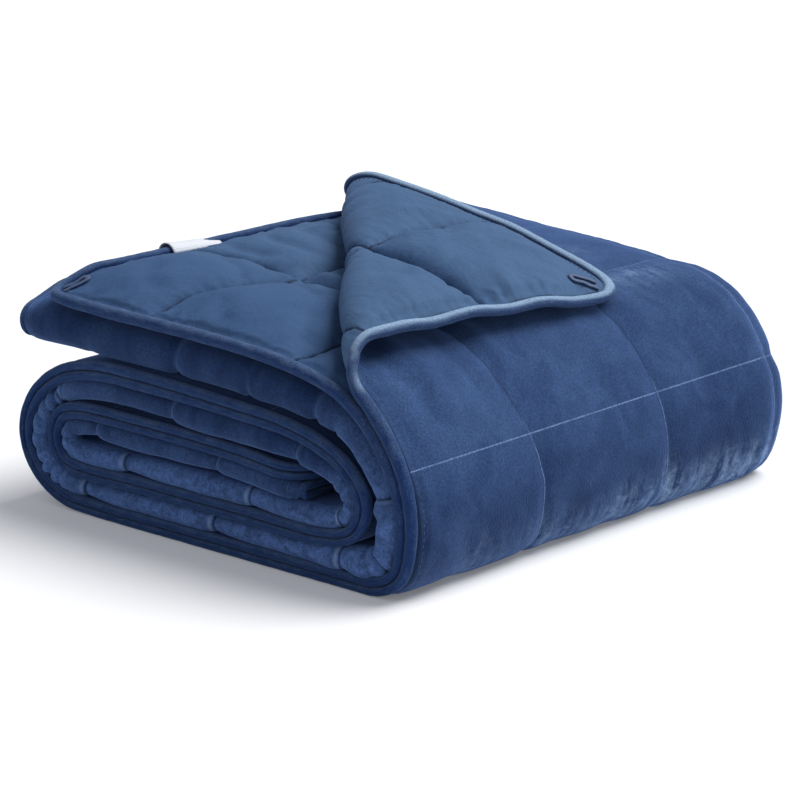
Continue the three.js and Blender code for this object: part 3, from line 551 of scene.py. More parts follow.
def lining_height(along, across, sizes):
    """Height of the lining over the middle surface."""
    row, column = squares(along, across)
    row_d, column_d = seam_distance(row, ROW), seam_distance(column, SQUARE)
    edge, flap = from_edge(along, across), on_flap(along, across)
    inner = smooth(across, *INNER_FACE_START) * smooth(bare_length(across) - along, *BARE_BLEND)
    free = np.maximum(flap, inner)
    from_corner = np.hypot(along, np.minimum(across, WIDTH - across))
    from_crease = np.abs(crease_frame(along, across)[1])
    full = lerp(CORNER_CROWN, 1.0, smooth(from_corner, *CORNER_SPAN))
    full = full * lerp(END_CROWN, 1.0, smooth(along, *END_SPAN))
    full = full * lerp(1.0, lerp(CREASE_CROWN, 1.0, smooth(from_crease, *CREASE_SPAN)), flap)
    loose = free * full
    crown, seam = sizes.lining_crown / MM, sizes.seam_half / MM
    steep = (1 - np.exp(-row_d / STEEP_REACH)) * (1 - np.exp(-column_d / STEEP_REACH))
    dome = np.abs(np.sin(np.pi * row) * np.sin(np.pi * column)) ** DOME_ROUND
    height = lerp(HALF_FLAT, seam + (crown - seam) * full * lerp(dome, steep, STEEP_SHARE), free)
    height += loose * LINING_CREASE_DEPTH * hand_creases(along, across, LINING_CREASES)
    drawn = lerp(*GATHER_SHARES, flap) * (1 + CROSSING * np.exp(-np.hypot(row_d, column_d) / CROSSING_REACH))
    for d, along_seam, seed in ((row_d, across, 41), (column_d, along, 47)):
        puckered = gathers(d, along_seam, seed, spacing=7.0, depth=1.5, spread=9.0)
        height += loose * drawn * puckered * (1 - np.exp(-d / SEWN_FLAT))
    sunk = np.exp(-np.minimum(row_d, column_d) / SEAM_SINK_REACH)
    height -= free * SEAM_SINK * sunk * smooth(edge, *SINK_FROM_EDGE)
    height -= flap_bend(along, across, row, column)
    slant = SLANT[0] * along + SLANT[1] * across
    level = SLANT[0] * across - SLANT[1] * along
    height += loose * BILLOWS * noise(slant / 14, level / 46, 43)
    height += loose * LUMPS * noise(along / 23, across / 29, 59)
    from_side, from_end = np.minimum(across, WIDTH - across), np.minimum(along, LENGTH - along)
    along_edge = np.where(from_side < from_end, along, across)
    even = 1 - EVEN_END * flap * fade(along, *EVEN_SPAN)
    drawn_in = gathers(np.maximum(edge - 5, 0), along_edge, seed=53, spacing=6.0, depth=1.2, spread=10.0)
    height += free * even * drawn_in
    height -= free * even * LINING_EDGE_DIP * hump(edge, *LINING_EDGE_LINE)
    return lerp(EDGE_HALF, height, smooth(edge, *LINING_EDGE))


def round_corners(along, across):
    """Moves flat points so that the four corners are round."""
    a = np.where(along < LENGTH / 2, along, LENGTH - along)
    c = np.where(across < WIDTH / 2, across, WIDTH - across)
    x, y = (CORNER_ROUND - a) / CORNER_ROUND, (CORNER_ROUND - c) / CORNER_ROUND
    near = (x > 0) & (y > 0)
    x1, y1 = np.clip(x, 0, 1.1), np.clip(y, 0, 1.1)
    a = np.where(near, CORNER_ROUND * (1 - x1 * np.sqrt(1 - y1**2 / 2)), a)
    c = np.where(near, CORNER_ROUND * (1 - y1 * np.sqrt(1 - x1**2 / 2)), c)
    return np.where(along < LENGTH / 2, a, LENGTH - a), np.where(across < WIDTH / 2, c, WIDTH - c)


def cell_lines(breaks, size):
    """Lines between breaks, no further apart than a size."""
    lines = [breaks[0]]
    for low, high in zip(breaks, breaks[1:]):
        count = max(1, math.ceil((high - low) / size - 0.01))
        lines += [low + (high - low) * (k + 1) / count for k in range(count)]
    return np.array(lines)


CELL = 21.5
FINEST = 16
TUCK = 2.0  # the faces run this far into the binding
ALONG_LINES = cell_lines((-TUCK, LENGTH + TUCK), CELL)
ACROSS_LINES = cell_lines((-TUCK, *BREAKS[1:-1], WIDTH + TUCK), CELL)


def flat_cloth(fineness):
    """The whole cloth as flat cells of uneven fineness: points along and across, and faces."""
    quads = []
    known = {}
    for i in range(len(ALONG_LINES) - 1):
        for j in range(len(ACROSS_LINES) - 1):
            step = FINEST // fineness(ALONG_LINES[i:i + 2].mean(), ACROSS_LINES[j:j + 2].mean())
            for a in range(i * FINEST, (i + 1) * FINEST, step):
                for c in range(j * FINEST, (j + 1) * FINEST, step):
                    quads.append((a, c, step))
                    for key in ((a, c), (a + step, c), (a + step, c + step), (a, c + step)):
                        known.setdefault(key, len(known))
    faces = []
    for a, c, step in quads:
        ring = []
        sides = ((a, c, 1, 0), (a + step, c, 0, 1), (a + step, c + step, -1, 0), (a, c + step, 0, -1))
        for a0, c0, da, dc in sides:
            for k in range(step):  # also the points that a finer neighbour has on this side
                key = (a0 + da * k, c0 + dc * k)
                if key in known:
                    ring.append(known[key])
        faces.append(ring)
    lattice = np.array(list(known), float) / FINEST
    along = np.interp(lattice[:, 0], np.arange(len(ALONG_LINES)), ALONG_LINES)
    across = np.interp(lattice[:, 1], np.arange(len(ACROSS_LINES)), ACROSS_LINES)
    return *round_corners(along, across), faces


NEAR_EDGE, NEAR_END = 46, 40
# Stretches along the velvet: the bare top with the right turn, the left turn, and the puckered folds
BARE_TOP, LEFT_TURN, PUCKERED = (175, 475), (630, 850), ((290, 440), (660, 810))
FOLD_NEAR, FOLD_ROUND = 32, 55


def velvet_fineness(along, across):
    """How many parts a flat cell of the velvet is cut into, by how well it shows."""
    on_face, off_fold = across < OUTER_FACE + 30, abs(across - FRONT_FOLD)
    if on_face and BARE_TOP[0] < along < BARE_TOP[1]:
        return 8
    if off_fold < FOLD_NEAR and any(first < along < last for first, last in PUCKERED):
        return 16
    if off_fold < FOLD_ROUND:
        return 8
    if on_face and (along < BARE_TOP[0] or LEFT_TURN[0] < along < LEFT_TURN[1]):
        return 4
    if min(across, WIDTH - across) < NEAR_EDGE or min(along, LENGTH - along) < NEAR_END:
        return 4
    if OUTER_FACE - 10 < across < 470:
        return 4
    return 2


def lining_fineness(along, across):
    """How many parts a flat cell of the lining is cut into, by how well it shows."""
    _, past, radius = crease_frame(along, across)
    if across < OUTER_FACE - 40 and past > -1.6 * radius - 24:
        return 16
    if across > WIDTH - 345 and along < bare_length(across) + 40:
        return 16
    if min(across, WIDTH - across) < NEAR_EDGE or along < NEAR_END:
        return 4
    return 2 if along > 300 else 4


def place_mesh(name, points, faces, material, flat_uv=None, square_uv=None):
    """A mesh object from points in the roll's millimetres, with its place in its mesh."""
    mesh = bpy.data.meshes.new(name)
    mesh.from_pydata(((points + ROLL_TO_FRAME) * MM).tolist(), [], faces)
    for layer, values in (("flat", flat_uv), ("squares", square_uv)):
        if values is not None:
            corner = np.empty(len(mesh.loops), int)
            mesh.loops.foreach_get("vertex_index", corner)
            mesh.uv_layers.new(name=layer).data.foreach_set("uv", values[corner].astype(np.float32).ravel())
    mesh.polygons.foreach_set("use_smooth", np.ones(len(mesh.polygons), bool))
    mesh.materials.append(material)
    mesh.validate()
    piece = bpy.data.objects.new(name, mesh)
    bpy.context.collection.objects.link(piece)
    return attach(piece, BODY)


def add_mark(piece, name, values):
    """A number at each point, which the material reads."""
    piece.data.attributes.new(name, "FLOAT", "POINT").data.foreach_set("value", values.astype(np.float32))


def linear(hex_colour):
    """An sRGB hex colour as linear red, green and blue."""
    parts = [int(hex_colour[k:k + 2], 16) / 255 for k in (1, 3, 5)]
    return tuple(p / 12.92 if p <= 0.04045 else ((p + 0.055) / 1.055) ** 2.4 for p in parts)


def node(material, kind, settings=None, inputs=None, out=0):
    """Adds a node with its settings and its inputs' values or links, and gives one of its outputs."""
    tree = material.node_tree
    made = tree.nodes.new(kind)
    for name, value in (settings or {}).items():
        setattr(made, name, value)
    for name, value in (inputs or {}).items():
        if isinstance(value, bpy.types.NodeSocket):
            tree.links.new(value, made.inputs[name])
        else:
            made.inputs[name].default_value = value
    return made.outputs[out] if made.outputs else None


# Settings that the nodes share
BLEND = {"data_type": "RGBA"}
TINT = {"data_type": "RGBA", "blend_type": "MULTIPLY"}
TIMES = {"operation": "MULTIPLY"}
TIMES_PLUS = {"operation": "MULTIPLY_ADD", "use_clamp": True}
PLUS = {"operation": "ADD"}
LARGER = {"operation": "MAXIMUM"}
AFTER_SEAM = {"operation": "FRACT"}
TO_SEAM = {"operation": "PINGPONG"}
EASED = {"interpolation_type": "SMOOTHSTEP"}


def new_material(name):
    material = bpy.data.materials.new(name)
    material.use_nodes = True
    material.node_tree.nodes.clear()
    return material


def rgba(colour):
    return (*colour, 1.0)


def velvet_material(colours):
    """Short brushed polyester velvet: dark where the pile stands to the eye, pale where it is brushed over,
    parted to a thin pale line along each seam, with a soft sheen at its outline. Painted light makes the top
    and the fold crests paler and the low side darker, with painted shade in seams and nips."""
    m = new_material("brushed_velvet")
    place = node(m, "ShaderNodeTexCoord", out="Object")
    flat = node(m, "ShaderNodeUVMap", {"uv_map": "flat"})
    numbers = node(m, "ShaderNodeUVMap", {"uv_map": "squares"})
    row, column = (node(m, "ShaderNodeSeparateXYZ", None, {0: numbers}, axis) for axis in (0, 1))
    crush_and_sheen, nap_and_painted_light, folded, seamed, parted, sunk = (
        node(m, "ShaderNodeAttribute", {"attribute_name": mark}, None, "Fac")
        for mark in ("crush_and_sheen", "nap_and_painted_light", "folded", "seamed", "parted", "sunk"))
    # brushed patches 22 mm across, and streaks of 28 by 7 mm on the slant
    patches = node(m, "ShaderNodeTexNoise", None, {
        "Vector": flat, "Scale": 1 / 0.022, "Detail": 5.0, "Distortion": 0.8}, "Fac")
    slanted = node(m, "ShaderNodeMapping", None, {
        0: flat, "Rotation": (0, 0, 0.4), "Scale": (1 / 0.028, 1 / 0.007, 1.0)})
    streaks = node(m, "ShaderNodeTexNoise", None, {
        "Vector": slanted, "Scale": 1.0, "Detail": 4.0, "Distortion": 0.5}, "Fac")
    # worn spots of 9 mm, which also shape the painted highlights and sheen, and pile tufts of 1.5 mm, coarser
    # than real so that they show
    worn_and_lit = node(m, "ShaderNodeTexNoise", None, {
        "Vector": place, "Scale": 1 / 0.009, "Detail": 6.0, "Distortion": 1.2}, "Fac")
    tufts = node(m, "ShaderNodeTexNoise", None, {"Vector": place, "Scale": 1 / 0.0015, "Detail": 2.0}, "Fac")
    soft = node(m, "ShaderNodeMapRange", None, {0: patches, 1: 0.35, 2: 0.7})
    # painted light: where the pile leans the colour runs to the lit copy, paler on the top and on some folds,
    # darker low down and towards the back
    lean_and_light = node(m, "ShaderNodeMath", TIMES_PLUS, {0: soft, 1: 0.3, 2: nap_and_painted_light})
    base = node(m, "ShaderNodeMix", BLEND, {
        0: lean_and_light, 6: rgba(colours.velvet), 7: rgba(colours.brushed_and_lit_velvet)}, 2)
    # painted highlight: the crests of the front folds and the ridges of their puckers paler, partly rubbed
    # pile
    rubbed = node(m, "ShaderNodeMapRange", None, {0: worn_and_lit, 1: 0.34, 2: 0.74})
    rubbed = node(m, "ShaderNodeMath", TIMES, {0: rubbed, 1: folded})
    base = node(m, "ShaderNodeMix", BLEND, {0: rubbed, 6: base, 7: rgba(colours.rubbed_and_lit_velvet)}, 2)
    # crushed pile near the floor, with a painted sheen in a band along the lower edge
    crush_and_sheen_streaks = node(m, "ShaderNodeMath", PLUS, {0: streaks, 1: worn_and_lit})
    crush_and_sheen_streaks = node(m, "ShaderNodeMapRange", None, {0: crush_and_sheen_streaks, 1: 0.8, 2: 1.25})
    crushed = node(m, "ShaderNodeMath", TIMES, {0: crush_and_sheen_streaks, 1: crush_and_sheen})
    base = node(m, "ShaderNodeMix", BLEND, {0: crushed, 6: base, 7: rgba(colours.crushed_and_lit_velvet)}, 2)
    grain = node(m, "ShaderNodeMapRange", None, {0: tufts, 1: 0.3, 2: 0.7, 3: 0.72, 4: 1.28})
    base = node(m, "ShaderNodeMix", TINT, {0: 1.0, 6: base, 7: grain}, 2)
    # a seam nips a front fold: painted shade, a dark line about 1.6 mm wide, and a painted highlight beside
    # it on the pillow's rounded end
    after = node(m, "ShaderNodeMath", AFTER_SEAM, {0: row})
    up = node(m, "ShaderNodeMapRange", None, {0: after, 1: 0.8 / ROW, 2: 2.4 / ROW, 3: 0.0, 4: 0.5})
    down = node(m, "ShaderNodeMapRange", None, {0: after, 1: 2.4 / ROW, 2: 4.6 / ROW, 3: 1.0, 4: 0.0})
    rim_highlight = node(m, "ShaderNodeMath", TIMES, {0: up, 1: down})
    rim_highlight = node(m, "ShaderNodeMath", TIMES, {0: rim_highlight, 1: folded})
    base = node(m, "ShaderNodeMix", BLEND, {0: rim_highlight, 6: base, 7: rgba(colours.crushed_and_lit_velvet)}, 2)
    to_row, to_column = (node(m, "ShaderNodeMath", TO_SEAM, {0: number, 1: 0.5}) for number in (row, column))
    nip_shade = node(m, "ShaderNodeMapRange", EASED, {0: to_row, 1: 0.3 / ROW, 2: 1.3 / ROW, 3: 0.7, 4: 0.0})
    nip_shade = node(m, "ShaderNodeMath", TIMES, {0: nip_shade, 1: seamed})
    base = node(m, "ShaderNodeMix", BLEND, {0: nip_shade, 6: base, 7: rgba(colours.crease)}, 2)
    # the pile parts on a seam in a dotted pale line, at most 1.2 mm wide
    row_line, column_line = (
        node(m, "ShaderNodeMapRange", EASED, {0: away, 1: 0.15 / spacing, 2: 0.6 / spacing, 3: 1.0, 4: 0.0})
        for away, spacing in ((to_row, ROW), (to_column, SQUARE)))
    line = node(m, "ShaderNodeMath", LARGER, {0: row_line, 1: column_line})
    dots = node(m, "ShaderNodeMapRange", None, {0: tufts, 1: 0.36, 2: 0.6, 3: 0.25, 4: 0.6})
    line = node(m, "ShaderNodeMath", TIMES, {0: line, 1: dots})
    line = node(m, "ShaderNodeMath", TIMES, {0: line, 1: parted})
    base = node(m, "ShaderNodeMix", BLEND, {0: line, 6: base, 7: rgba(colours.velvet_parted)}, 2)
    # painted shade: the seams along the cloth draw in as a dark line about 1.5 mm wide, and a painted shadow
    # lies along the binding's seam
    drawn = node(m, "ShaderNodeMapRange", EASED, {
        0: to_column, 1: 0.2 / SQUARE, 2: 1.3 / SQUARE, 3: 0.6, 4: 0.0})
    drawn = node(m, "ShaderNodeMath", TIMES, {0: drawn, 1: sunk})
    base = node(m, "ShaderNodeMix", BLEND, {0: drawn, 6: base, 7: rgba(colours.crease)}, 2)
    from_front = node(m, "ShaderNodeSeparateXYZ", None, {0: flat}, 1)
    binding_shadow = node(m, "ShaderNodeMapRange", EASED, {0: from_front, 1: 0.0022, 2: 0.0036, 3: 0.8, 4: 0.0})
    base = node(m, "ShaderNodeMix", BLEND, {0: binding_shadow, 6: base, 7: rgba(colours.crease)}, 2)
    bump = node(m, "ShaderNodeBump", None, {"Strength": 0.5, "Distance": 0.0007, "Height": tufts})
    shader = node(m, "ShaderNodeBsdfPrincipled", None, {
        "Base Color": base, "Roughness": 0.9, "IOR": 1.5, "Specular IOR Level": 0.08, "Sheen Weight": 0.9,
        "Sheen Roughness": 0.42, "Sheen Tint": rgba(colours.sheen), "Normal": bump})
    node(m, "ShaderNodeOutputMaterial", None, {"Surface": shader})
    return m


def binding_material(colours):
    """The same velvet cut as a narrow strip and turned over the edge: fleecy, with a painted highlight along
    its top.
    """
    m = new_material("velvet_binding")
    flat = node(m, "ShaderNodeUVMap", {"uv_map": "flat"})
    pale = node(m, "ShaderNodeAttribute", {"attribute_name": "pale"}, None, "Fac")
    # brushed patches of 11 by 5.5 mm, and tufts of 1.4 mm, coarser than real so that they show
    drawn_out = node(m, "ShaderNodeMapping", None, {0: flat, "Scale": (1 / 0.011, 1 / 0.0055, 1.0)})
    patches = node(m, "ShaderNodeTexNoise", None, {
        "Vector": drawn_out, "Scale": 1.0, "Detail": 4.0, "Distortion": 0.6}, "Fac")
    tufts = node(m, "ShaderNodeTexNoise", None, {"Vector": flat, "Scale": 1 / 0.0014, "Detail": 2.5}, "Fac")
    soft = node(m, "ShaderNodeMapRange", None, {0: patches, 1: 0.35, 2: 0.68})
    # painted highlight: paler where the binding faces up, darker where it faces down
    lean_and_light = node(m, "ShaderNodeMath", TIMES_PLUS, {0: soft, 1: 0.1, 2: pale})
    base = node(m, "ShaderNodeMix", BLEND, {
        0: lean_and_light, 6: rgba(colours.binding_shade), 7: rgba(colours.binding)}, 2)
    grain = node(m, "ShaderNodeMapRange", None, {0: tufts, 1: 0.3, 2: 0.7, 3: 0.7, 4: 1.3})
    base = node(m, "ShaderNodeMix", TINT, {0: 1.0, 6: base, 7: grain}, 2)
    bump = node(m, "ShaderNodeBump", None, {"Strength": 0.5, "Distance": 0.0008, "Height": tufts})
    shader = node(m, "ShaderNodeBsdfPrincipled", None, {
        "Base Color": base, "Roughness": 0.9, "IOR": 1.5, "Specular IOR Level": 0.08, "Sheen Weight": 0.3,
        "Sheen Roughness": 0.4, "Sheen Tint": rgba(colours.binding), "Normal": bump})
    node(m, "ShaderNodeOutputMaterial", None, {"Surface": shader})
    return m


def lining_material(colours):
    """Brushed polyester microfibre: smooth and matte, with a close weave and faint slubs."""
    m = new_material("woven_microfibre")
    flat = node(m, "ShaderNodeUVMap", {"uv_map": "flat"})
    nap_and_painted_light = node(m, "ShaderNodeAttribute", {"attribute_name": "nap_and_painted_light"}, None, "Fac")
    # clouds of 30 mm, and threads 0.9 mm apart, coarser than real so that the weave shows
    clouds = node(m, "ShaderNodeTexNoise", None, {"Vector": flat, "Scale": 1 / 0.030, "Detail": 3.0}, "Fac")
    threads = []
    for scale in ((1 / 0.0009, 1 / 0.0045, 1.0), (1 / 0.0045, 1 / 0.0009, 1.0)):
        drawn_out = node(m, "ShaderNodeMapping", None, {0: flat, "Scale": scale})
        threads.append(node(m, "ShaderNodeTexNoise", None, {
            "Vector": drawn_out, "Scale": 1.0, "Detail": 1.5}, "Fac"))
    weave = node(m, "ShaderNodeMath", PLUS, {0: threads[0], 1: threads[1]})
    soft = node(m, "ShaderNodeMapRange", None, {0: clouds, 1: 0.3, 2: 0.7})
    # painted light: paler on the turned-back corner and towards the back, and a painted shadow beside the
    # corner's first seam, partly the nap lying the other way
    lean_and_light = node(m, "ShaderNodeMath", TIMES_PLUS, {0: soft, 1: 0.15, 2: nap_and_painted_light})
    base = node(m, "ShaderNodeMix", BLEND, {
        0: lean_and_light, 6: rgba(colours.lining), 7: rgba(colours.lining_clouds_and_light)}, 2)
    shade = node(m, "ShaderNodeMapRange", None, {0: weave, 1: 0.7, 2: 1.3, 3: 0.9, 4: 1.1})
    base = node(m, "ShaderNodeMix", TINT, {0: 1.0, 6: base, 7: shade}, 2)
    # the sewn crease, about 2.6 mm wide, holds less light
    numbers = node(m, "ShaderNodeUVMap", {"uv_map": "squares"})
    for axis, spacing in ((0, ROW), (1, SQUARE)):
        number = node(m, "ShaderNodeSeparateXYZ", None, {0: numbers}, axis)
        away = node(m, "ShaderNodeMath", TO_SEAM, {0: number, 1: 0.5})
        crease = node(m, "ShaderNodeMapRange", EASED, {
            0: away, 1: 0.3 / spacing, 2: 2.3 / spacing, 3: 0.92, 4: 0.0})
        base = node(m, "ShaderNodeMix", BLEND, {0: crease, 6: base, 7: rgba(colours.crease)}, 2)
    # soft crumples of 9 by 16 mm in the loose cloth
    loose = node(m, "ShaderNodeMapping", None, {
        0: flat, "Rotation": (0, 0, 0.6), "Scale": (1 / 0.009, 1 / 0.016, 1.0)})
    crumples = node(m, "ShaderNodeTexNoise", None, {
        "Vector": loose, "Scale": 1.0, "Detail": 3.0, "Distortion": 0.7}, "Fac")
    crumpled = node(m, "ShaderNodeBump", None, {"Strength": 0.45, "Distance": 0.003, "Height": crumples})
    bump = node(m, "ShaderNodeBump", None, {
        "Strength": 0.25, "Distance": 0.0003, "Height": weave, "Normal": crumpled})
    shader = node(m, "ShaderNodeBsdfPrincipled", None, {
        "Base Color": base, "Roughness": 0.8, "IOR": 1.5, "Specular IOR Level": 0.12, "Sheen Weight": 0.1,
        "Sheen Roughness": 0.5, "Sheen Tint": rgba(colours.sheen), "Normal": bump})
    node(m, "ShaderNodeOutputMaterial", None, {"Surface": shader})
    return m


def thread_material(colours):
    """Twisted polyester sewing thread: a slight gloss, paler on the twist."""
    m = new_material("sewing_thread")
    place = node(m, "ShaderNodeTexCoord", out="Object")
    # a twist of 1.2 mm, coarser than real so that it shows
    twist = node(m, "ShaderNodeTexNoise", None, {"Vector": place, "Scale": 1 / 0.0012, "Detail": 1.0}, "Fac")
    base = node(m, "ShaderNodeMix", BLEND, {0: twist, 6: rgba(colours.thread), 7: rgba(colours.lining)}, 2)
    shader = node(m, "ShaderNodeBsdfPrincipled", None, {"Base Color": base, "Roughness": 0.55, "IOR": 1.5})
    node(m, "ShaderNodeOutputMaterial", None, {"Surface": shader})
    return m


def tape_material(name, colour, dark):
    """Woven polyester tape: flat threads across it, darker between them, and 1.58 mm apart, which is coarser
    than real so that they show."""
    m = new_material(name)
    flat = node(m, "ShaderNodeUVMap", {"uv_map": "flat"})
    ribs = node(m, "ShaderNodeTexWave", {"bands_direction": "X"}, {
        "Vector": flat, "Scale": math.pi / 10 / 0.00158, "Distortion": 0.6, "Detail": 1.0}, "Fac")
    clouds = node(m, "ShaderNodeTexNoise", None, {"Vector": flat, "Scale": 1 / 0.008, "Detail": 2.0}, "Fac")
    shade = node(m, "ShaderNodeMath", TIMES, {0: ribs, 1: clouds})
    base = node(m, "ShaderNodeMix", BLEND, {0: shade, 6: rgba(colour), 7: rgba(dark)}, 2)
    bump = node(m, "ShaderNodeBump", None, {"Strength": 0.3, "Distance": 0.0002, "Height": ribs})
    shader = node(m, "ShaderNodeBsdfPrincipled", None, {
        "Base Color": base, "Roughness": 0.6, "IOR": 1.5, "Sheen Weight": 0.1, "Normal": bump})
    node(m, "ShaderNodeOutputMaterial", None, {"Surface": shader})
    return m


class BlanketSizes(PropertyGroup):
    """Sizes of the blanket's cloth and sewing."""

    velvet_crown: FloatProperty(
        name="Velvet crown", description="Velvet over the middle surface, in the middle of a square",
        default=5.2 * MM, unit="LENGTH")
    lining_crown: FloatProperty(
        name="Lining crown", description="Lining over the middle surface, in the middle of a square",
        default=12.5 * MM, unit="LENGTH")
    seam_half: FloatProperty(
        name="Half a seam", description="Either face over the middle surface, at a seam",
        default=1.3 * MM, unit="LENGTH")
    binding_half: FloatProperty(
        name="Half binding", description="Half the height of the binding where it lies free",
        default=4.3 * MM, unit="LENGTH")
    binding_pressed: FloatProperty(
        name="Pressed binding", description="Half the height of the binding inside the roll",
        default=2.9 * MM, unit="LENGTH")
    binding_out: FloatProperty(
        name="Binding width", description="Half the width of the binding, away from the edge",
        default=4.4 * MM, unit="LENGTH")
    stitch_length: FloatProperty(
        name="Stitch", description="Length of one stitch",
        default=2.9 * MM, unit="LENGTH")
    stitch_gap: FloatProperty(
        name="Stitch gap", description="Distance from one stitch to the next",
        default=1.5 * MM, unit="LENGTH")
    thread: FloatProperty(
        name="Thread", description="Thickness of the sewing thread",
        default=0.55 * MM, unit="LENGTH")
    loop_length: FloatProperty(
        name="Loop", description="Length of a corner loop",
        default=15 * MM, unit="LENGTH")
    label_width: FloatProperty(
        name="Label", description="Length of the label along the edge",
        default=48 * MM, unit="LENGTH")


class BlanketColours(PropertyGroup):
    """Colours of the blanket's cloths."""

    # also the painted shade of the low side and the back
    velvet: FloatVectorProperty(
        name="Velvet", description="Pile that stands to the eye",
        subtype="COLOR", default=linear("#0b1d40"))
    # also painted light: the lit copy of the velvet, on the top and on some folds
    brushed_and_lit_velvet: FloatVectorProperty(
        name="Brushed velvet", description="Pile that is brushed over",
        subtype="COLOR", default=linear("#3a5279"))
    # also a painted highlight on the crests of the front folds
    rubbed_and_lit_velvet: FloatVectorProperty(
        name="Rubbed velvet", description="Pile that is rubbed on the folds",
        subtype="COLOR", default=linear("#5672ab"))
    # also a painted sheen along the lower edge and the painted highlight beside the seam nips
    crushed_and_lit_velvet: FloatVectorProperty(
        name="Crushed velvet", description="Pile that is crushed flat",
        subtype="COLOR", default=linear("#88a2c2"))
    velvet_parted: FloatVectorProperty(
        name="Parted velvet", description="Pile that a seam parts",
        subtype="COLOR", default=linear("#8199c0"))
    # also a painted highlight: the lit top of the binding
    binding: FloatVectorProperty(
        name="Binding", description="Top of the velvet binding",
        subtype="COLOR", default=linear("#879fb8"))
    # also the painted shade of the binding's lower side
    binding_shade: FloatVectorProperty(
        name="Binding shade", description="Binding where its pile stands to the eye",
        subtype="COLOR", default=linear("#1d345f"))
    lining: FloatVectorProperty(
        name="Lining", description="Microfibre lining",
        subtype="COLOR", default=linear("#375175"))
    # also painted light on the turned-back corner and towards the back
    lining_clouds_and_light: FloatVectorProperty(
        name="Light lining", description="Paler clouds in the lining",
        subtype="COLOR", default=linear("#445e7e"))
    # painted shade: the colour in sewn creases, seams and nips of the lining and the velvet, and of the
    # painted shadow along the binding
    crease: FloatVectorProperty(
        name="Crease", description="Lining down in a sewn crease",
        subtype="COLOR", default=linear("#131e33"))
    thread: FloatVectorProperty(
        name="Thread", description="Sewing thread",
        subtype="COLOR", default=linear("#3c5479"))
    sheen: FloatVectorProperty(
        name="Sheen", description="Light that the pile scatters at its outline",
        subtype="COLOR", default=linear("#7699d8"))
    label: FloatVectorProperty(
        name="Label", description="White tape",
        subtype="COLOR", default=linear("#d8dadf"))


def over_middle(along, across, height):
    """Points at a height over the middle surface, on the velvet's side, and never under the floor."""
    _, _, out = directions(middle, along, across)
    place = middle(along, across) + out * height[:, None]
    place[:, 2] = np.maximum(place[:, 2], 0)
    return place


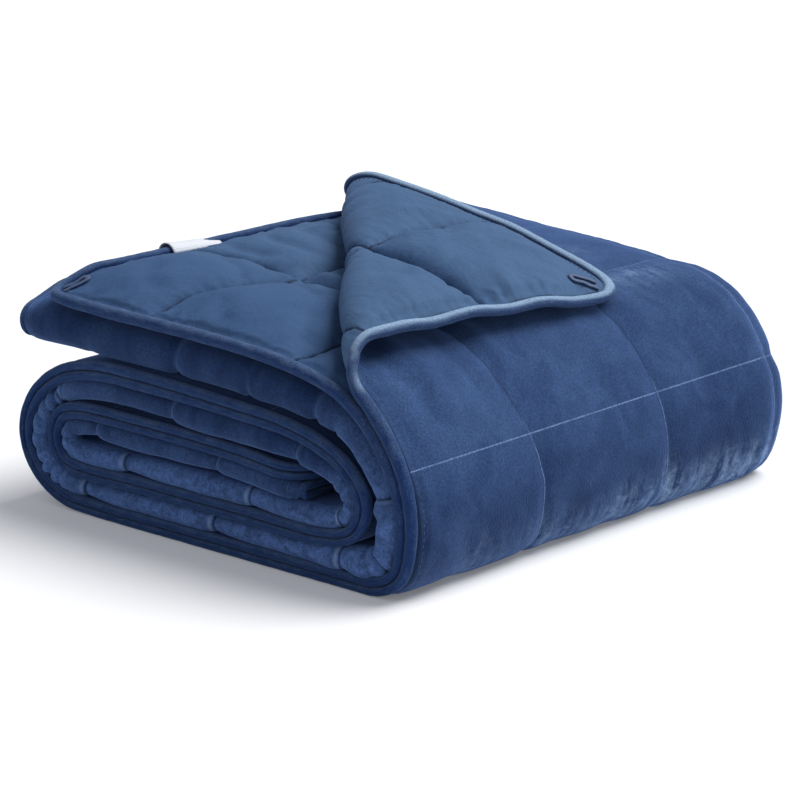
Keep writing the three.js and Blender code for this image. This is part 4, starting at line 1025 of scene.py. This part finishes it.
class BLANKET_OT_velvet(Operator):
    """Lay the velvet face over the folded quilt"""

    bl_idname = "blanket.velvet"
    bl_label = "Velvet face"

    # Where the pile is crushed near the floor: place across, half width, share
    CRUSHED = ((346, 34, 1.6), (296, 16, 0.9), (212, 20, 0.85), (238, 8, 0.6), (140, 22, 0.5), (62, 16, 0.45))
    CRUSHED_RISE, CRUSHED_FALL, CRUSHED_UNEVEN = (354, 400), (450, 490), 0.5
    # The paler band all along there, a painted sheen, fuller in the second and third squares: places across
    # and shares
    BAND_RISE, BAND_UNEVEN = (352, 391), 12
    BAND_PLACES = (30, 110, 150, 250, 290, 381, 401)
    BAND_SHARES = (0.18, 0.36, 0.72, 0.72, 0.88, 0.88, 0)
    # Brushed spots on the top: place and half width along and across, share
    BRUSHED = (((245, 13), (322, 34), 0.45), ((190, 16), (314, 24), 0.3))
    # The front folds: half widths of what is rubbed and painted with highlights, nipped with painted shade
    # and unparted, and the share of a pucker's ridge in the painted highlight
    RUBBED_WIDTH, NIPPED_WIDTH, UNPARTED_WIDTH, RIDGE_SHARE = 30, 24, 60, 0.35
    NIPPED_RISE = (240, 330)
    # How far the pile of the outer face leans, a painted light that makes the top paler and the low side
    # darker: up to where along and how much; less towards the back, so the back is painted darker
    LEANS = (((305, 385), 0.5), ((150, 240), 0.22))
    BACK_LEAN, BACK_LEAN_RISE, UNEVEN_LEAN = 0.82, (200, 360), 0.12
    # The first two seams along the cloth sink on the top, where a painted shade line runs in them, and show
    # pale only from the right turn on
    SUNK_FADE, SEAM_SHOWS, SEAM_PALE = (300, 335), (310, 322), (0.15, 0.9)
    BACK_SEAM_PALE, BESIDE_SEAM = 0.6, 0.06

    def crush_and_sheen(self, along, across):
        """How far the pile is crushed near the floor, with a band of painted sheen there, and brushed on the
        top.
        """
        low = smooth(along, *self.CRUSHED_RISE) ** 1.2 * fade(along, *self.CRUSHED_FALL)
        low = low * (across < OUTER_FACE + 20)
        spots = sum(share * hump(across, spot, width) for spot, width, share in self.CRUSHED)
        spots = spots * (1 + self.CRUSHED_UNEVEN * noise(across / 9, along / 40, 73))
        uneven = self.BAND_UNEVEN * noise(across / 24, 0.5, 83)
        sheen_band = smooth(along + uneven, *self.BAND_RISE) ** 1.4 * fade(along, *self.CRUSHED_FALL)
        sheen_band = sheen_band * np.interp(across, self.BAND_PLACES, self.BAND_SHARES)
        brushed = sum(share * hump(along, *a) * hump(across, *c) for a, c, share in self.BRUSHED)
        return np.clip(np.maximum(low * spots, sheen_band) + brushed, 0, 1)

    def nap_and_painted_light(self, along, across, on_folds):
        """How far the pile leans over, with painted light that makes the top paler and the low side darker,
        on the outer face and on the front folds.
        """
        lean_and_light = sum(share * fade(along, *span) for span, share in self.LEANS)
        lean_and_light = lean_and_light * lerp(1.0, self.BACK_LEAN, smooth(across, *self.BACK_LEAN_RISE))
        lean_and_light = lerp(on_folds, lean_and_light, across < OUTER_FACE + 30)
        return np.clip(lean_and_light + self.UNEVEN_LEAN * noise(along / 60, across / 45, 79), 0, 1)

    def parted(self, along, across):
        """How clearly the pile parts on the seams."""
        _, column = squares(along, across)
        beside = np.abs(column - np.round(column)) < self.BESIDE_SEAM
        inner_seam = beside & (column > 0.5) & (column < 2.5)
        back_seam = lerp(1.0, self.BACK_SEAM_PALE, np.abs(column - 3) < self.BESIDE_SEAM)
        pale = np.where(inner_seam, lerp(*self.SEAM_PALE, smooth(along, *self.SEAM_SHOWS)), back_seam)
        return pale * (1 - hump(across, FRONT_FOLD, self.UNPARTED_WIDTH))

    def execute(self, context):
        scene = context.scene
        along, across, faces = flat_cloth(velvet_fineness)
        place = over_middle(along, across, velvet_height(along, across, scene.blanket_sizes))
        piece = place_mesh("velvet_face", place, faces, velvet_material(scene.blanket_colours),
                           np.stack([along, across], -1) * MM, np.stack(squares(along, across), -1))
        places, rubbed, brushed = zip(*FOLD_NAP_AND_HIGHLIGHT)
        # painted highlight on the fold crests and pucker ridges, partly rubbed pile
        worn_and_lit = np.interp(along, places, rubbed) + self.RIDGE_SHARE * puckers(along, across)[1] ** 2
        nipped = hump(across, FRONT_FOLD, self.NIPPED_WIDTH) * smooth(along, *self.NIPPED_RISE)
        add_mark(piece, "crush_and_sheen", self.crush_and_sheen(along, across))
        add_mark(piece, "folded", np.clip(hump(across, FRONT_FOLD, self.RUBBED_WIDTH) * worn_and_lit, 0, 1))
        add_mark(piece, "seamed", nipped)
        # painted light on the top, painted shade low down and towards the back, partly the pile's lean
        add_mark(piece, "nap_and_painted_light", self.nap_and_painted_light(along, across, np.interp(along, places, brushed)))
        # painted shade in the seams on the top
        add_mark(piece, "sunk", fade(along, *self.SUNK_FADE) * (across < OUTER_FACE - 40))
        add_mark(piece, "parted", self.parted(along, across))
        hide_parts("quilt")
        return {"FINISHED"}


class BLANKET_OT_lining(Operator):
    """Lay the lining under the folded quilt and over its turned-back corner"""

    bl_idname = "blanket.lining"
    bl_label = "Lining"

    # Painted light: the turned-back corner and the back of the inner face paler, partly the nap lying the
    # other way
    PALE, PALE_FROM_FRONT = 0.9, (20, 230)
    # A painted shadow beside the corner's first seam: how far from it, and where it ends across
    BESIDE_REACH, BESIDE_FADE = 11, (0.9, 1.1)

    def execute(self, context):
        scene = context.scene
        along, across, faces = flat_cloth(lining_fineness)
        place = over_middle(along, across, -lining_height(along, across, scene.blanket_sizes))
        row, column = squares(along, across)
        piece = place_mesh("lining_face", place, [ring[::-1] for ring in faces],
                           lining_material(scene.blanket_colours), np.stack([along, across], -1) * MM,
                           np.stack((row, column), -1))
        inner = self.PALE * smooth(WIDTH - across, *self.PALE_FROM_FRONT) * (across > WIDTH / 2)
        beside = np.exp(-seam_distance(row, ROW) / self.BESIDE_REACH) * fade(column, *self.BESIDE_FADE)
        beside = beside * ((row > 0.5) & (row < 1))
        add_mark(piece, "nap_and_painted_light", np.maximum(self.PALE * on_flap(along, across) * (1 - beside), inner))
        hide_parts("quilt")
        return {"FINISHED"}


def round_centre(along, across):
    """Centre of a corner's round, from the corner."""
    return np.array([x - math.copysign(CORNER_ROUND, x - 1) for x in (along, across)])


def edge_path(step, inset=0.0):
    """Flat points round the cloth's edge, corners rounded, with the cloth on the left."""
    r = CORNER_ROUND - inset
    corners = ((LENGTH, 0, -90), (LENGTH, WIDTH, 0), (0, WIDTH, 90), (0, 0, 180))
    points = []
    for (*corner, first), (*following, _) in zip(corners, corners[1:] + corners[:1]):
        turn = np.radians(first + np.linspace(0, 90, max(4, int(r * 1.6 / step)) + 1))
        points.append(round_centre(*corner) + r * np.stack([np.cos(turn), np.sin(turn)], -1))
        start = points[-1][-1]
        end = round_centre(*following) + r * np.array((math.cos(turn[-1]), math.sin(turn[-1])))
        count = max(2, int(np.linalg.norm(end - start) / step))
        points.append(start + (end - start) * (np.arange(1, count) / count)[:, None])
    return np.vstack(points)


def run_along(points):
    """Distance of each point from the first, along the line through them."""
    return np.concatenate([[0], np.cumsum(np.linalg.norm(np.diff(points, axis=0), axis=1))])


def tube(rings, closed):
    """Faces of a tube through rings of points, closed on itself or capped."""
    count, sides = rings.shape[:2]
    faces = []
    for ring in range(count if closed else count - 1):
        here, there = ring * sides, (ring + 1) % count * sides
        for side in range(sides):
            after = (side + 1) % sides
            faces.append((here + side, there + side, there + after, here + after))
    if not closed:
        faces.append(tuple(range(sides)))
        faces.append(tuple(range(count * sides - 1, (count - 1) * sides - 1, -1)))
    return faces


class BLANKET_OT_binding(Operator):
    """Turn the velvet binding over the whole edge"""

    bl_idname = "blanket.binding"
    bl_label = "Binding"

    SIDES = 12
    STEP, PATH_STEP = 2.6, 0.8
    OVERLAP = 1.4  # how far it lies over the quilt's edge
    ROLL_OVER, ROLL_OVER_FADE = 1.6, (6, 30)  # how far it rolls on to the lining along the free end
    LEAST_HEIGHT = 0.3  # over the floor
    # Inside the roll: where it is pressed, its share of the width there, the gap it keeps, its most slack
    PRESSED, PRESSED_WIDTH, PRESSED_GAP, MOST_SLACK = (280, 400), 0.94, 0.1, 3
    # Lumps and ripples; thinner at the inner end, the free end, the turned-back corner and its crease
    LUMPS, SMALL_LUMPS, RIPPLE = 0.055, 0.03, 0.025
    THIN_INNER_END, INNER_END = 0.1, (LENGTH - 40, LENGTH)
    THIN_FREE_END, FREE_END = 0.14, (3, 20)
    THIN_CREASE, CREASE_REACH = 0.35, 30
    # Flatter and wider on the turned-back end
    FLAT_END, FLATTER, WIDER = (2, 14), 0.22, 0.3
    SEWN_SQUARE = 0.8  # how square it is towards the quilt, where it is sewn down
    GIRTH = 4.2  # its radius, for the pattern round it
    # How pale it is where it faces up, a painted highlight: on the roll, and on the turned-back corner
    ROLL_PALE, ROLL_PALE_RISE = (-0.03, 0.12), (0.1, 1)
    CORNER_PALE, CORNER_PALE_RISE = (0.02, 0.87), (0.2, 0.85)

    def execute(self, context):
        sizes = context.scene.blanket_sizes
        path = edge_path(self.PATH_STEP)
        path = np.vstack([path, path[:1]])
        path_run = run_along(middle(*path.T))
        run = np.linspace(0, path_run[-1], int(path_run[-1] / self.STEP), endpoint=False)
        along, across = (np.interp(run, path_run, path[:, k]) for k in (0, 1))
        place = middle(along, across)
        ahead = unit(np.roll(place, -1, 0) - np.roll(place, 1, 0))
        _, _, out = directions(middle, along, across)
        away = unit(np.cross(ahead, out))
        flap = on_flap(along, across)
        pressed = smooth(along, *self.PRESSED)
        layers = STRIP.at(along)[-1]
        # inside the roll the two layers' bindings swell until they meet
        between_layers = layers[0] - layers[1] - 2 * sizes.binding_pressed / MM - self.PRESSED_GAP
        slack = pressed * np.clip(between_layers, 0, self.MOST_SLACK) / 4
        flatter = flap * fade(along, *self.FLAT_END)
        high = lerp(sizes.binding_half, sizes.binding_pressed, pressed) / MM + slack
        high = high * (1 - self.FLATTER * flatter)
        wide = lerp(sizes.binding_out, sizes.binding_out * self.PRESSED_WIDTH, pressed) / MM
        wide = wide * (1 + self.WIDER * flatter)
        lumps = 1 + self.LUMPS * noise(run / 17, 0.5, 61) + self.SMALL_LUMPS * noise(run / 5.5, 0.5, 67)
        lumps = lumps * (1 - self.THIN_INNER_END * smooth(along, *self.INNER_END))
        lumps = lumps * (1 - self.THIN_FREE_END * np.maximum(fade(along, *self.FREE_END), flap))
        lumps = lumps * (1 - self.THIN_CREASE * hump(across, CREASE_ACROSS, self.CREASE_REACH) * (along < 5))
        rolled_over = self.ROLL_OVER * fade(along, *self.ROLL_OVER_FADE)
        centre = place + away * (wide - self.OVERLAP)[:, None] - out * (rolled_over + slack)[:, None]
        angle = 2 * np.pi * (np.arange(self.SIDES) + 0.5) / self.SIDES
        cos, sin = np.cos(angle), np.sin(angle)
        cos = np.where(cos < 0, np.sign(cos) * np.abs(cos) ** self.SEWN_SQUARE, cos)
        ripple = 1 + self.RIPPLE * noise(run[:, None] / 4, np.arange(self.SIDES)[None] / 2, 71)
        aside = cos[None] * (wide * lumps)[:, None] * ripple
        upward = sin[None] * (high * lumps)[:, None] * ripple
        rings = centre[:, None] + away[:, None] * aside[..., None] + out[:, None] * upward[..., None]
        rings[..., 2] = np.maximum(rings[..., 2], self.LEAST_HEIGHT)
        flat = np.stack(np.broadcast_arrays(run[:, None], angle[None] * self.GIRTH), -1).reshape(-1, 2) * MM
        piece = place_mesh("velvet_binding", rings.reshape(-1, 3), tube(rings, True),
                           binding_material(context.scene.blanket_colours), flat)
        # painted highlight where the binding faces up
        facing_up = away[:, 2:] * cos[None] + out[:, 2:] * sin[None]
        on_roll = lerp(*self.ROLL_PALE, smooth(facing_up, *self.ROLL_PALE_RISE))
        on_corner = lerp(*self.CORNER_PALE, smooth(facing_up, *self.CORNER_PALE_RISE))
        add_mark(piece, "pale", lerp(on_roll, on_corner, flap[:, None]).ravel())
        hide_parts("binding")
        return {"FINISHED"}


# One stitch: shares of its length, how far it stands out of the cloth, and its girth
STITCH_SHARES = np.array((0.0, 0.18, 0.5, 0.82, 1.0))
STITCH_RISE = np.array((-0.5, 0.15, 0.32, 0.15, -0.5))
STITCH_GIRTH = np.array((0.35, 0.9, 1.0, 0.9, 0.35))
STITCH_SIDES = 5
LOWEST_STITCH = 0.05  # over the floor


def stitches(path, face_height, face, sizes, skip=None):
    """Points and faces of a row of stitches along a flat path, on the velvet (1) or the lining (-1)."""
    run = run_along(middle(*path.T))
    long, pitch = sizes.stitch_length / MM, (sizes.stitch_length + sizes.stitch_gap) / MM
    starts = np.arange(pitch / 2, run[-1] - long, pitch)
    at = starts[:, None] + STITCH_SHARES[None] * long
    flat = np.stack([np.interp(at, run, path[:, k]) for k in (0, 1)], -1)
    if skip is not None:
        flat = flat[~skip(flat[:, 2, 0], flat[:, 2, 1])]
    shape = flat.shape[:2]
    along, across = flat.reshape(-1, 2).T
    _, _, out = directions(middle, along, across)
    height = face_height(along, across, sizes)
    points = (middle(along, across) + out * (face * height)[:, None]).reshape(*shape, 3)
    out = (out * face).reshape(*shape, 3)
    points = points + out * STITCH_RISE[None, :, None]
    ahead = unit(points[:, -1:] - points[:, :1]) + np.zeros_like(points)
    aside = unit(np.cross(ahead, out))
    girth = STITCH_GIRTH * sizes.thread / MM / 2
    angle = 2 * np.pi * np.arange(STITCH_SIDES) / STITCH_SIDES
    cos, sin = (girth[None, :, None, None] * turn(angle)[None, None, :, None] for turn in (np.cos, np.sin))
    rings = points[:, :, None] + aside[:, :, None] * cos + out[:, :, None] * sin
    rings[..., 2] = np.maximum(rings[..., 2], LOWEST_STITCH)
    one = tube(rings[0], False)
    per = rings.shape[1] * STITCH_SIDES
    faces = [tuple(v + k * per for v in ring) for k in range(len(rings)) for ring in one]
    return rings.reshape(-1, 3), faces


class BLANKET_OT_sewing(Operator):
    """Sew the binding down on both faces and quilt the squares that show"""

    bl_idname = "blanket.sewing"
    bl_label = "Sewing"

    INSET, STEP = 5.4, 3.0
    SEEN_END, SEEN_ROLL, INNER_END = 12, 480, LENGTH - 20  # where the binding's sewing shows, along
    SEAM_START, SEAM_STOP = 8, CREASE_ACROSS + 40

    def execute(self, context):
        sizes = context.scene.blanket_sizes

        def off_the_end(along, across):
            return along > self.SEEN_END

        def inside_the_roll(along, across):
            return (along > self.SEEN_ROLL) & (along < self.INNER_END)

        def off_the_corner(along, across):
            return (on_flap(along, across) < 0.5) & (across < WIDTH / 2)

        edge = edge_path(self.STEP, self.INSET)
        edge = np.vstack([edge, edge[:1]])
        rows = [(edge, lining_height, -1, off_the_end), (edge, velvet_height, 1, inside_the_roll)]
        t = np.arange(self.SEAM_START, self.SEAM_STOP, self.STEP)
        for number, wandering in ((1, FIRST_COLUMN), (2, SECOND_COLUMN)):
            bend = INNER_SEAM_BEND * fade(t, *INNER_BEND_SPAN) if number == 1 else 0
            for seam_along, seam_across, skip in (
                    (0 * t + ROW_SEAMS[number, 0], t, off_the_corner),
                    (t, np.interp(t, *zip(*wandering)), off_the_corner),
                    (0 * t + ROW_SEAMS[number, 2] - bend, WIDTH - t, None),
                    (t, 0 * t + WIDTH - SQUARE * number, None)):
                rows.append((np.stack([seam_along, seam_across], -1), lining_height, -1, skip))
        points, faces, first = [], [], 0
        for path, height, face, skip in rows:
            made, rings = stitches(path, height, face, sizes, skip)
            points.append(made)
            faces += [tuple(v + first for v in ring) for ring in rings]
            first += len(made)
        piece = place_mesh("sewing", np.vstack(points), faces, thread_material(context.scene.blanket_colours))
        return {"FINISHED"}


class BLANKET_OT_loops(Operator):
    """Sew a tape loop into the two corners that show"""

    bl_idname = "blanket.loops"
    bl_label = "Corner loops"

    # Node, start along and across, the way it points, half the width of the loop
    LOOPS = (
        ("corner_loop_top", (17.0, 6.0), (0.85, 0.53), 2.7),
        ("corner_loop_end", (4.0, WIDTH - 12.0), (0.5, -1.0), 3.3),
    )
    TAPE = (1.75, 0.8)  # half the tape's width and half its thickness
    CLEAR, SEWN_IN = 0.4, 3  # how far it lies over the lining, and runs in under the binding
    SIDES, SQUARENESS = 10, 0.6

    def execute(self, context):
        sizes, colours = context.scene.blanket_sizes, context.scene.blanket_colours
        tape = tape_material("woven_loop_tape", colours.lining, colours.binding_shade)
        long = sizes.loop_length / MM
        angle = 2 * np.pi * (np.arange(self.SIDES) + 0.5) / self.SIDES
        cos, sin = (np.sign(c) * np.abs(c) ** self.SQUARENESS for c in (np.cos(angle), np.sin(angle)))
        for name, start, way, half in self.LOOPS:
            way = np.array(way) / math.hypot(*way)
            side = np.array((-way[1], way[0]))
            turn = np.linspace(-np.pi / 2, np.pi / 2, 16)
            legs = np.linspace(-self.SEWN_IN, long - half, 14)[:-1]
            ahead = np.concatenate([legs, long - half + half * np.cos(turn), legs[::-1]])
            aside = np.concatenate([0 * legs - half, half * np.sin(turn), 0 * legs + half])
            along, across = (np.array(start) + ahead[:, None] * way + aside[:, None] * side).T
            _, _, out = directions(middle, along, across)
            lift = lining_height(along, across, sizes) + self.CLEAR + self.TAPE[1]
            place = middle(along, across) - out * lift[:, None]
            away = unit(np.cross(unit(np.gradient(place, axis=0)), out))
            rings = (place[:, None] + away[:, None] * (cos * self.TAPE[0])[None, :, None]
                     + out[:, None] * (sin * self.TAPE[1])[None, :, None])
            flat = np.broadcast_arrays(run_along(place)[:, None], cos[None] * 2)
            flat = np.stack(flat, -1).reshape(-1, 2) * MM
            piece = place_mesh(f"{name}_tape", rings.reshape(-1, 3), tube(rings, False), tape, flat)
            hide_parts(name)
        return {"FINISHED"}


class BLANKET_OT_label(Operator):
    """Fold the blank label over the binding of the free end"""

    bl_idname = "blanket.label"
    bl_label = "Label"

    PLACE_Y = -56.5
    HALF_SPAN, RISE, THICK = 8.6, 7.4, 0.7
    CENTRE_OUT, CENTRE_DOWN = 4.3, 1.2  # its middle, from the middle of the cloth's end
    FOOT, HANG = math.radians(17), math.radians(205)
    SHADE = 0.82  # between its threads

    def slack(self, share):
        """How high it stands along its length, from -0.5 to 0.5: lower at its right end."""
        return 1 - 0.05 * (2 * share) ** 2 + 0.03 * math.sin(7 * share) - 0.6 * share

    def execute(self, context):
        sizes, colours = context.scene.blanket_sizes, context.scene.blanket_colours
        end = middle(np.zeros(1), np.array([WIDTH - (self.PLACE_Y - FRONT_Y)]))[0]
        long = sizes.label_width / MM
        angle = np.linspace(self.FOOT, self.HANG, 30)
        shares = np.linspace(-0.5, 0.5, 25)
        centre_x, centre_z = end[0] - self.CENTRE_OUT, end[2] - self.CENTRE_DOWN
        section = [(turn, 0) for turn in angle] + [(turn, self.THICK) for turn in angle[::-1]]
        rings = np.array([[(centre_x + (self.HALF_SPAN - inset) * math.cos(turn),
                            self.PLACE_Y + share * long,
                            centre_z + (self.RISE * self.slack(share) - inset) * math.sin(turn))
                           for turn, inset in section] for share in shares])
        run = np.concatenate([angle, angle[::-1]]) * self.HALF_SPAN
        flat = np.stack(np.broadcast_arrays(run[None], shares[:, None] * long), -1).reshape(-1, 2) * MM
        white = tape_material("woven_white_tape", colours.label, tuple(self.SHADE * c for c in colours.label))
        piece = place_mesh("blank_label", rings.reshape(-1, 3), tube(rings, False), white, flat)
        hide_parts("label")
        return {"FINISHED"}


class BLANKET_OT_stage(Operator):
    """Set the pale floor, the soft lights and the camera"""

    bl_idname = "blanket.stage"
    bl_label = "Stage"

    azimuth: FloatProperty(
        name="Azimuth", description="Camera round the blanket, from the front",
        default=math.radians(41.5), subtype="ANGLE")
    elevation: FloatProperty(
        name="Elevation", description="Camera over the floor",
        default=math.radians(15.18), subtype="ANGLE")
    roll: FloatProperty(
        name="Roll", description="Camera round its own line of sight",
        default=math.radians(-0.15), subtype="ANGLE")
    lens: FloatProperty(
        name="Lens", description="Focal length in millimetres",
        default=135.6)

    EYE = (1344.7, -1519.2, 612.9)  # in the roll's millimetres
    SENSOR, SEES_TO = 36.0, 100.0
    # The way each light comes from, its spread in degrees and its strength in watts per square metre
    LIGHTS = (("top_light", (0.27, 0.48, 0.84), 42.0, 3.5), ("front_light", (0.10, -0.90, 0.42), 80.0, 0.22))
    ROOM_LIGHT, ROOM_STRENGTH = (0.9, 0.95, 1.08, 1.0), 0.34
    FLOOR_SIZE, FLOOR_COLOURS, FLOOR_GLOW = 30.0, ("#e6e6e6", "#e4e4e4"), 0.16

    def floor_material(self):
        """Matt white paper: even and without gloss, with faint clouds of 50 mm and a slight glow."""
        m = new_material("matt_paper_floor")
        place = node(m, "ShaderNodeTexCoord", out="Object")
        clouds = node(m, "ShaderNodeTexNoise", None, {"Vector": place, "Scale": 1 / 0.05}, "Fac")
        light, dark = (rgba(linear(colour)) for colour in self.FLOOR_COLOURS)
        base = node(m, "ShaderNodeMix", BLEND, {0: clouds, 6: light, 7: dark}, 2)
        shader = node(m, "ShaderNodeBsdfPrincipled", None, {
            "Base Color": base, "Roughness": 0.9, "Specular IOR Level": 0.1, "Emission Color": base,
            "Emission Strength": self.FLOOR_GLOW})
        node(m, "ShaderNodeOutputMaterial", None, {"Surface": shader})
        return m

    def execute(self, context):
        scene = context.scene
        bpy.ops.object.select_all(action="DESELECT")
        bpy.ops.mesh.primitive_plane_add(size=self.FLOOR_SIZE, location=(0, 0, 0))
        floor = context.object
        floor.name = "floor"
        floor.data.materials.append(self.floor_material())
        for name, way, spread, strength in self.LIGHTS:
            light = bpy.data.lights.new(name, "SUN")
            light.angle, light.energy = math.radians(spread), strength
            lamp = bpy.data.objects.new(name, light)
            lamp.rotation_euler = Vector(way).to_track_quat("Z", "Y").to_euler()
            context.collection.objects.link(lamp)
        world = bpy.data.worlds.new("studio")
        world.use_nodes = True
        background = world.node_tree.nodes["Background"]
        background.inputs["Color"].default_value = self.ROOM_LIGHT
        background.inputs["Strength"].default_value = self.ROOM_STRENGTH
        scene.world = world
        scene.view_settings.view_transform = "Standard"
        camera = bpy.data.objects.new("camera", bpy.data.cameras.new("camera"))
        camera.data.lens, camera.data.sensor_width = self.lens, self.SENSOR
        camera.data.clip_end = self.SEES_TO
        camera.location = (np.array(self.EYE) + ROLL_TO_FRAME) * MM
        aim = Euler((math.pi / 2 - self.elevation, 0, self.azimuth)).to_matrix()
        camera.rotation_euler = (aim @ Matrix.Rotation(self.roll, 3, "Z")).to_euler()
        context.collection.objects.link(camera)
        scene.camera = camera
        return {"FINISHED"}


OPERATORS = (BLANKET_OT_stage, BLANKET_OT_velvet, BLANKET_OT_lining, BLANKET_OT_binding, BLANKET_OT_sewing,
             BLANKET_OT_loops, BLANKET_OT_label)


class BLANKET_PT_panel(Panel):
    """Steps that make the blanket"""

    bl_label = "Folded blanket"
    bl_idname = "BLANKET_PT_panel"
    bl_space_type = "VIEW_3D"
    bl_region_type = "UI"
    bl_category = "Blanket"

    def draw(self, context):
        for operator in OPERATORS:
            self.layout.operator(operator.bl_idname)


CLASSES = (BlanketSizes, BlanketColours, *OPERATORS, BLANKET_PT_panel)


def register():
    for cls in CLASSES:
        bpy.utils.register_class(cls)
    bpy.types.Scene.blanket_sizes = PointerProperty(type=BlanketSizes)
    bpy.types.Scene.blanket_colours = PointerProperty(type=BlanketColours)


def unregister():
    del bpy.types.Scene.blanket_colours
    del bpy.types.Scene.blanket_sizes
    for cls in reversed(CLASSES):
        bpy.utils.unregister_class(cls)


def main():
    register()
    bpy.ops.object.select_all(action="DESELECT")
    bpy.ops.blanket.stage()
    bpy.ops.blanket.velvet()
    bpy.ops.blanket.lining()
    bpy.ops.blanket.binding()
    bpy.ops.blanket.sewing()
    bpy.ops.blanket.loops()
    bpy.ops.blanket.label()


if __name__ == "__main__":
    main()
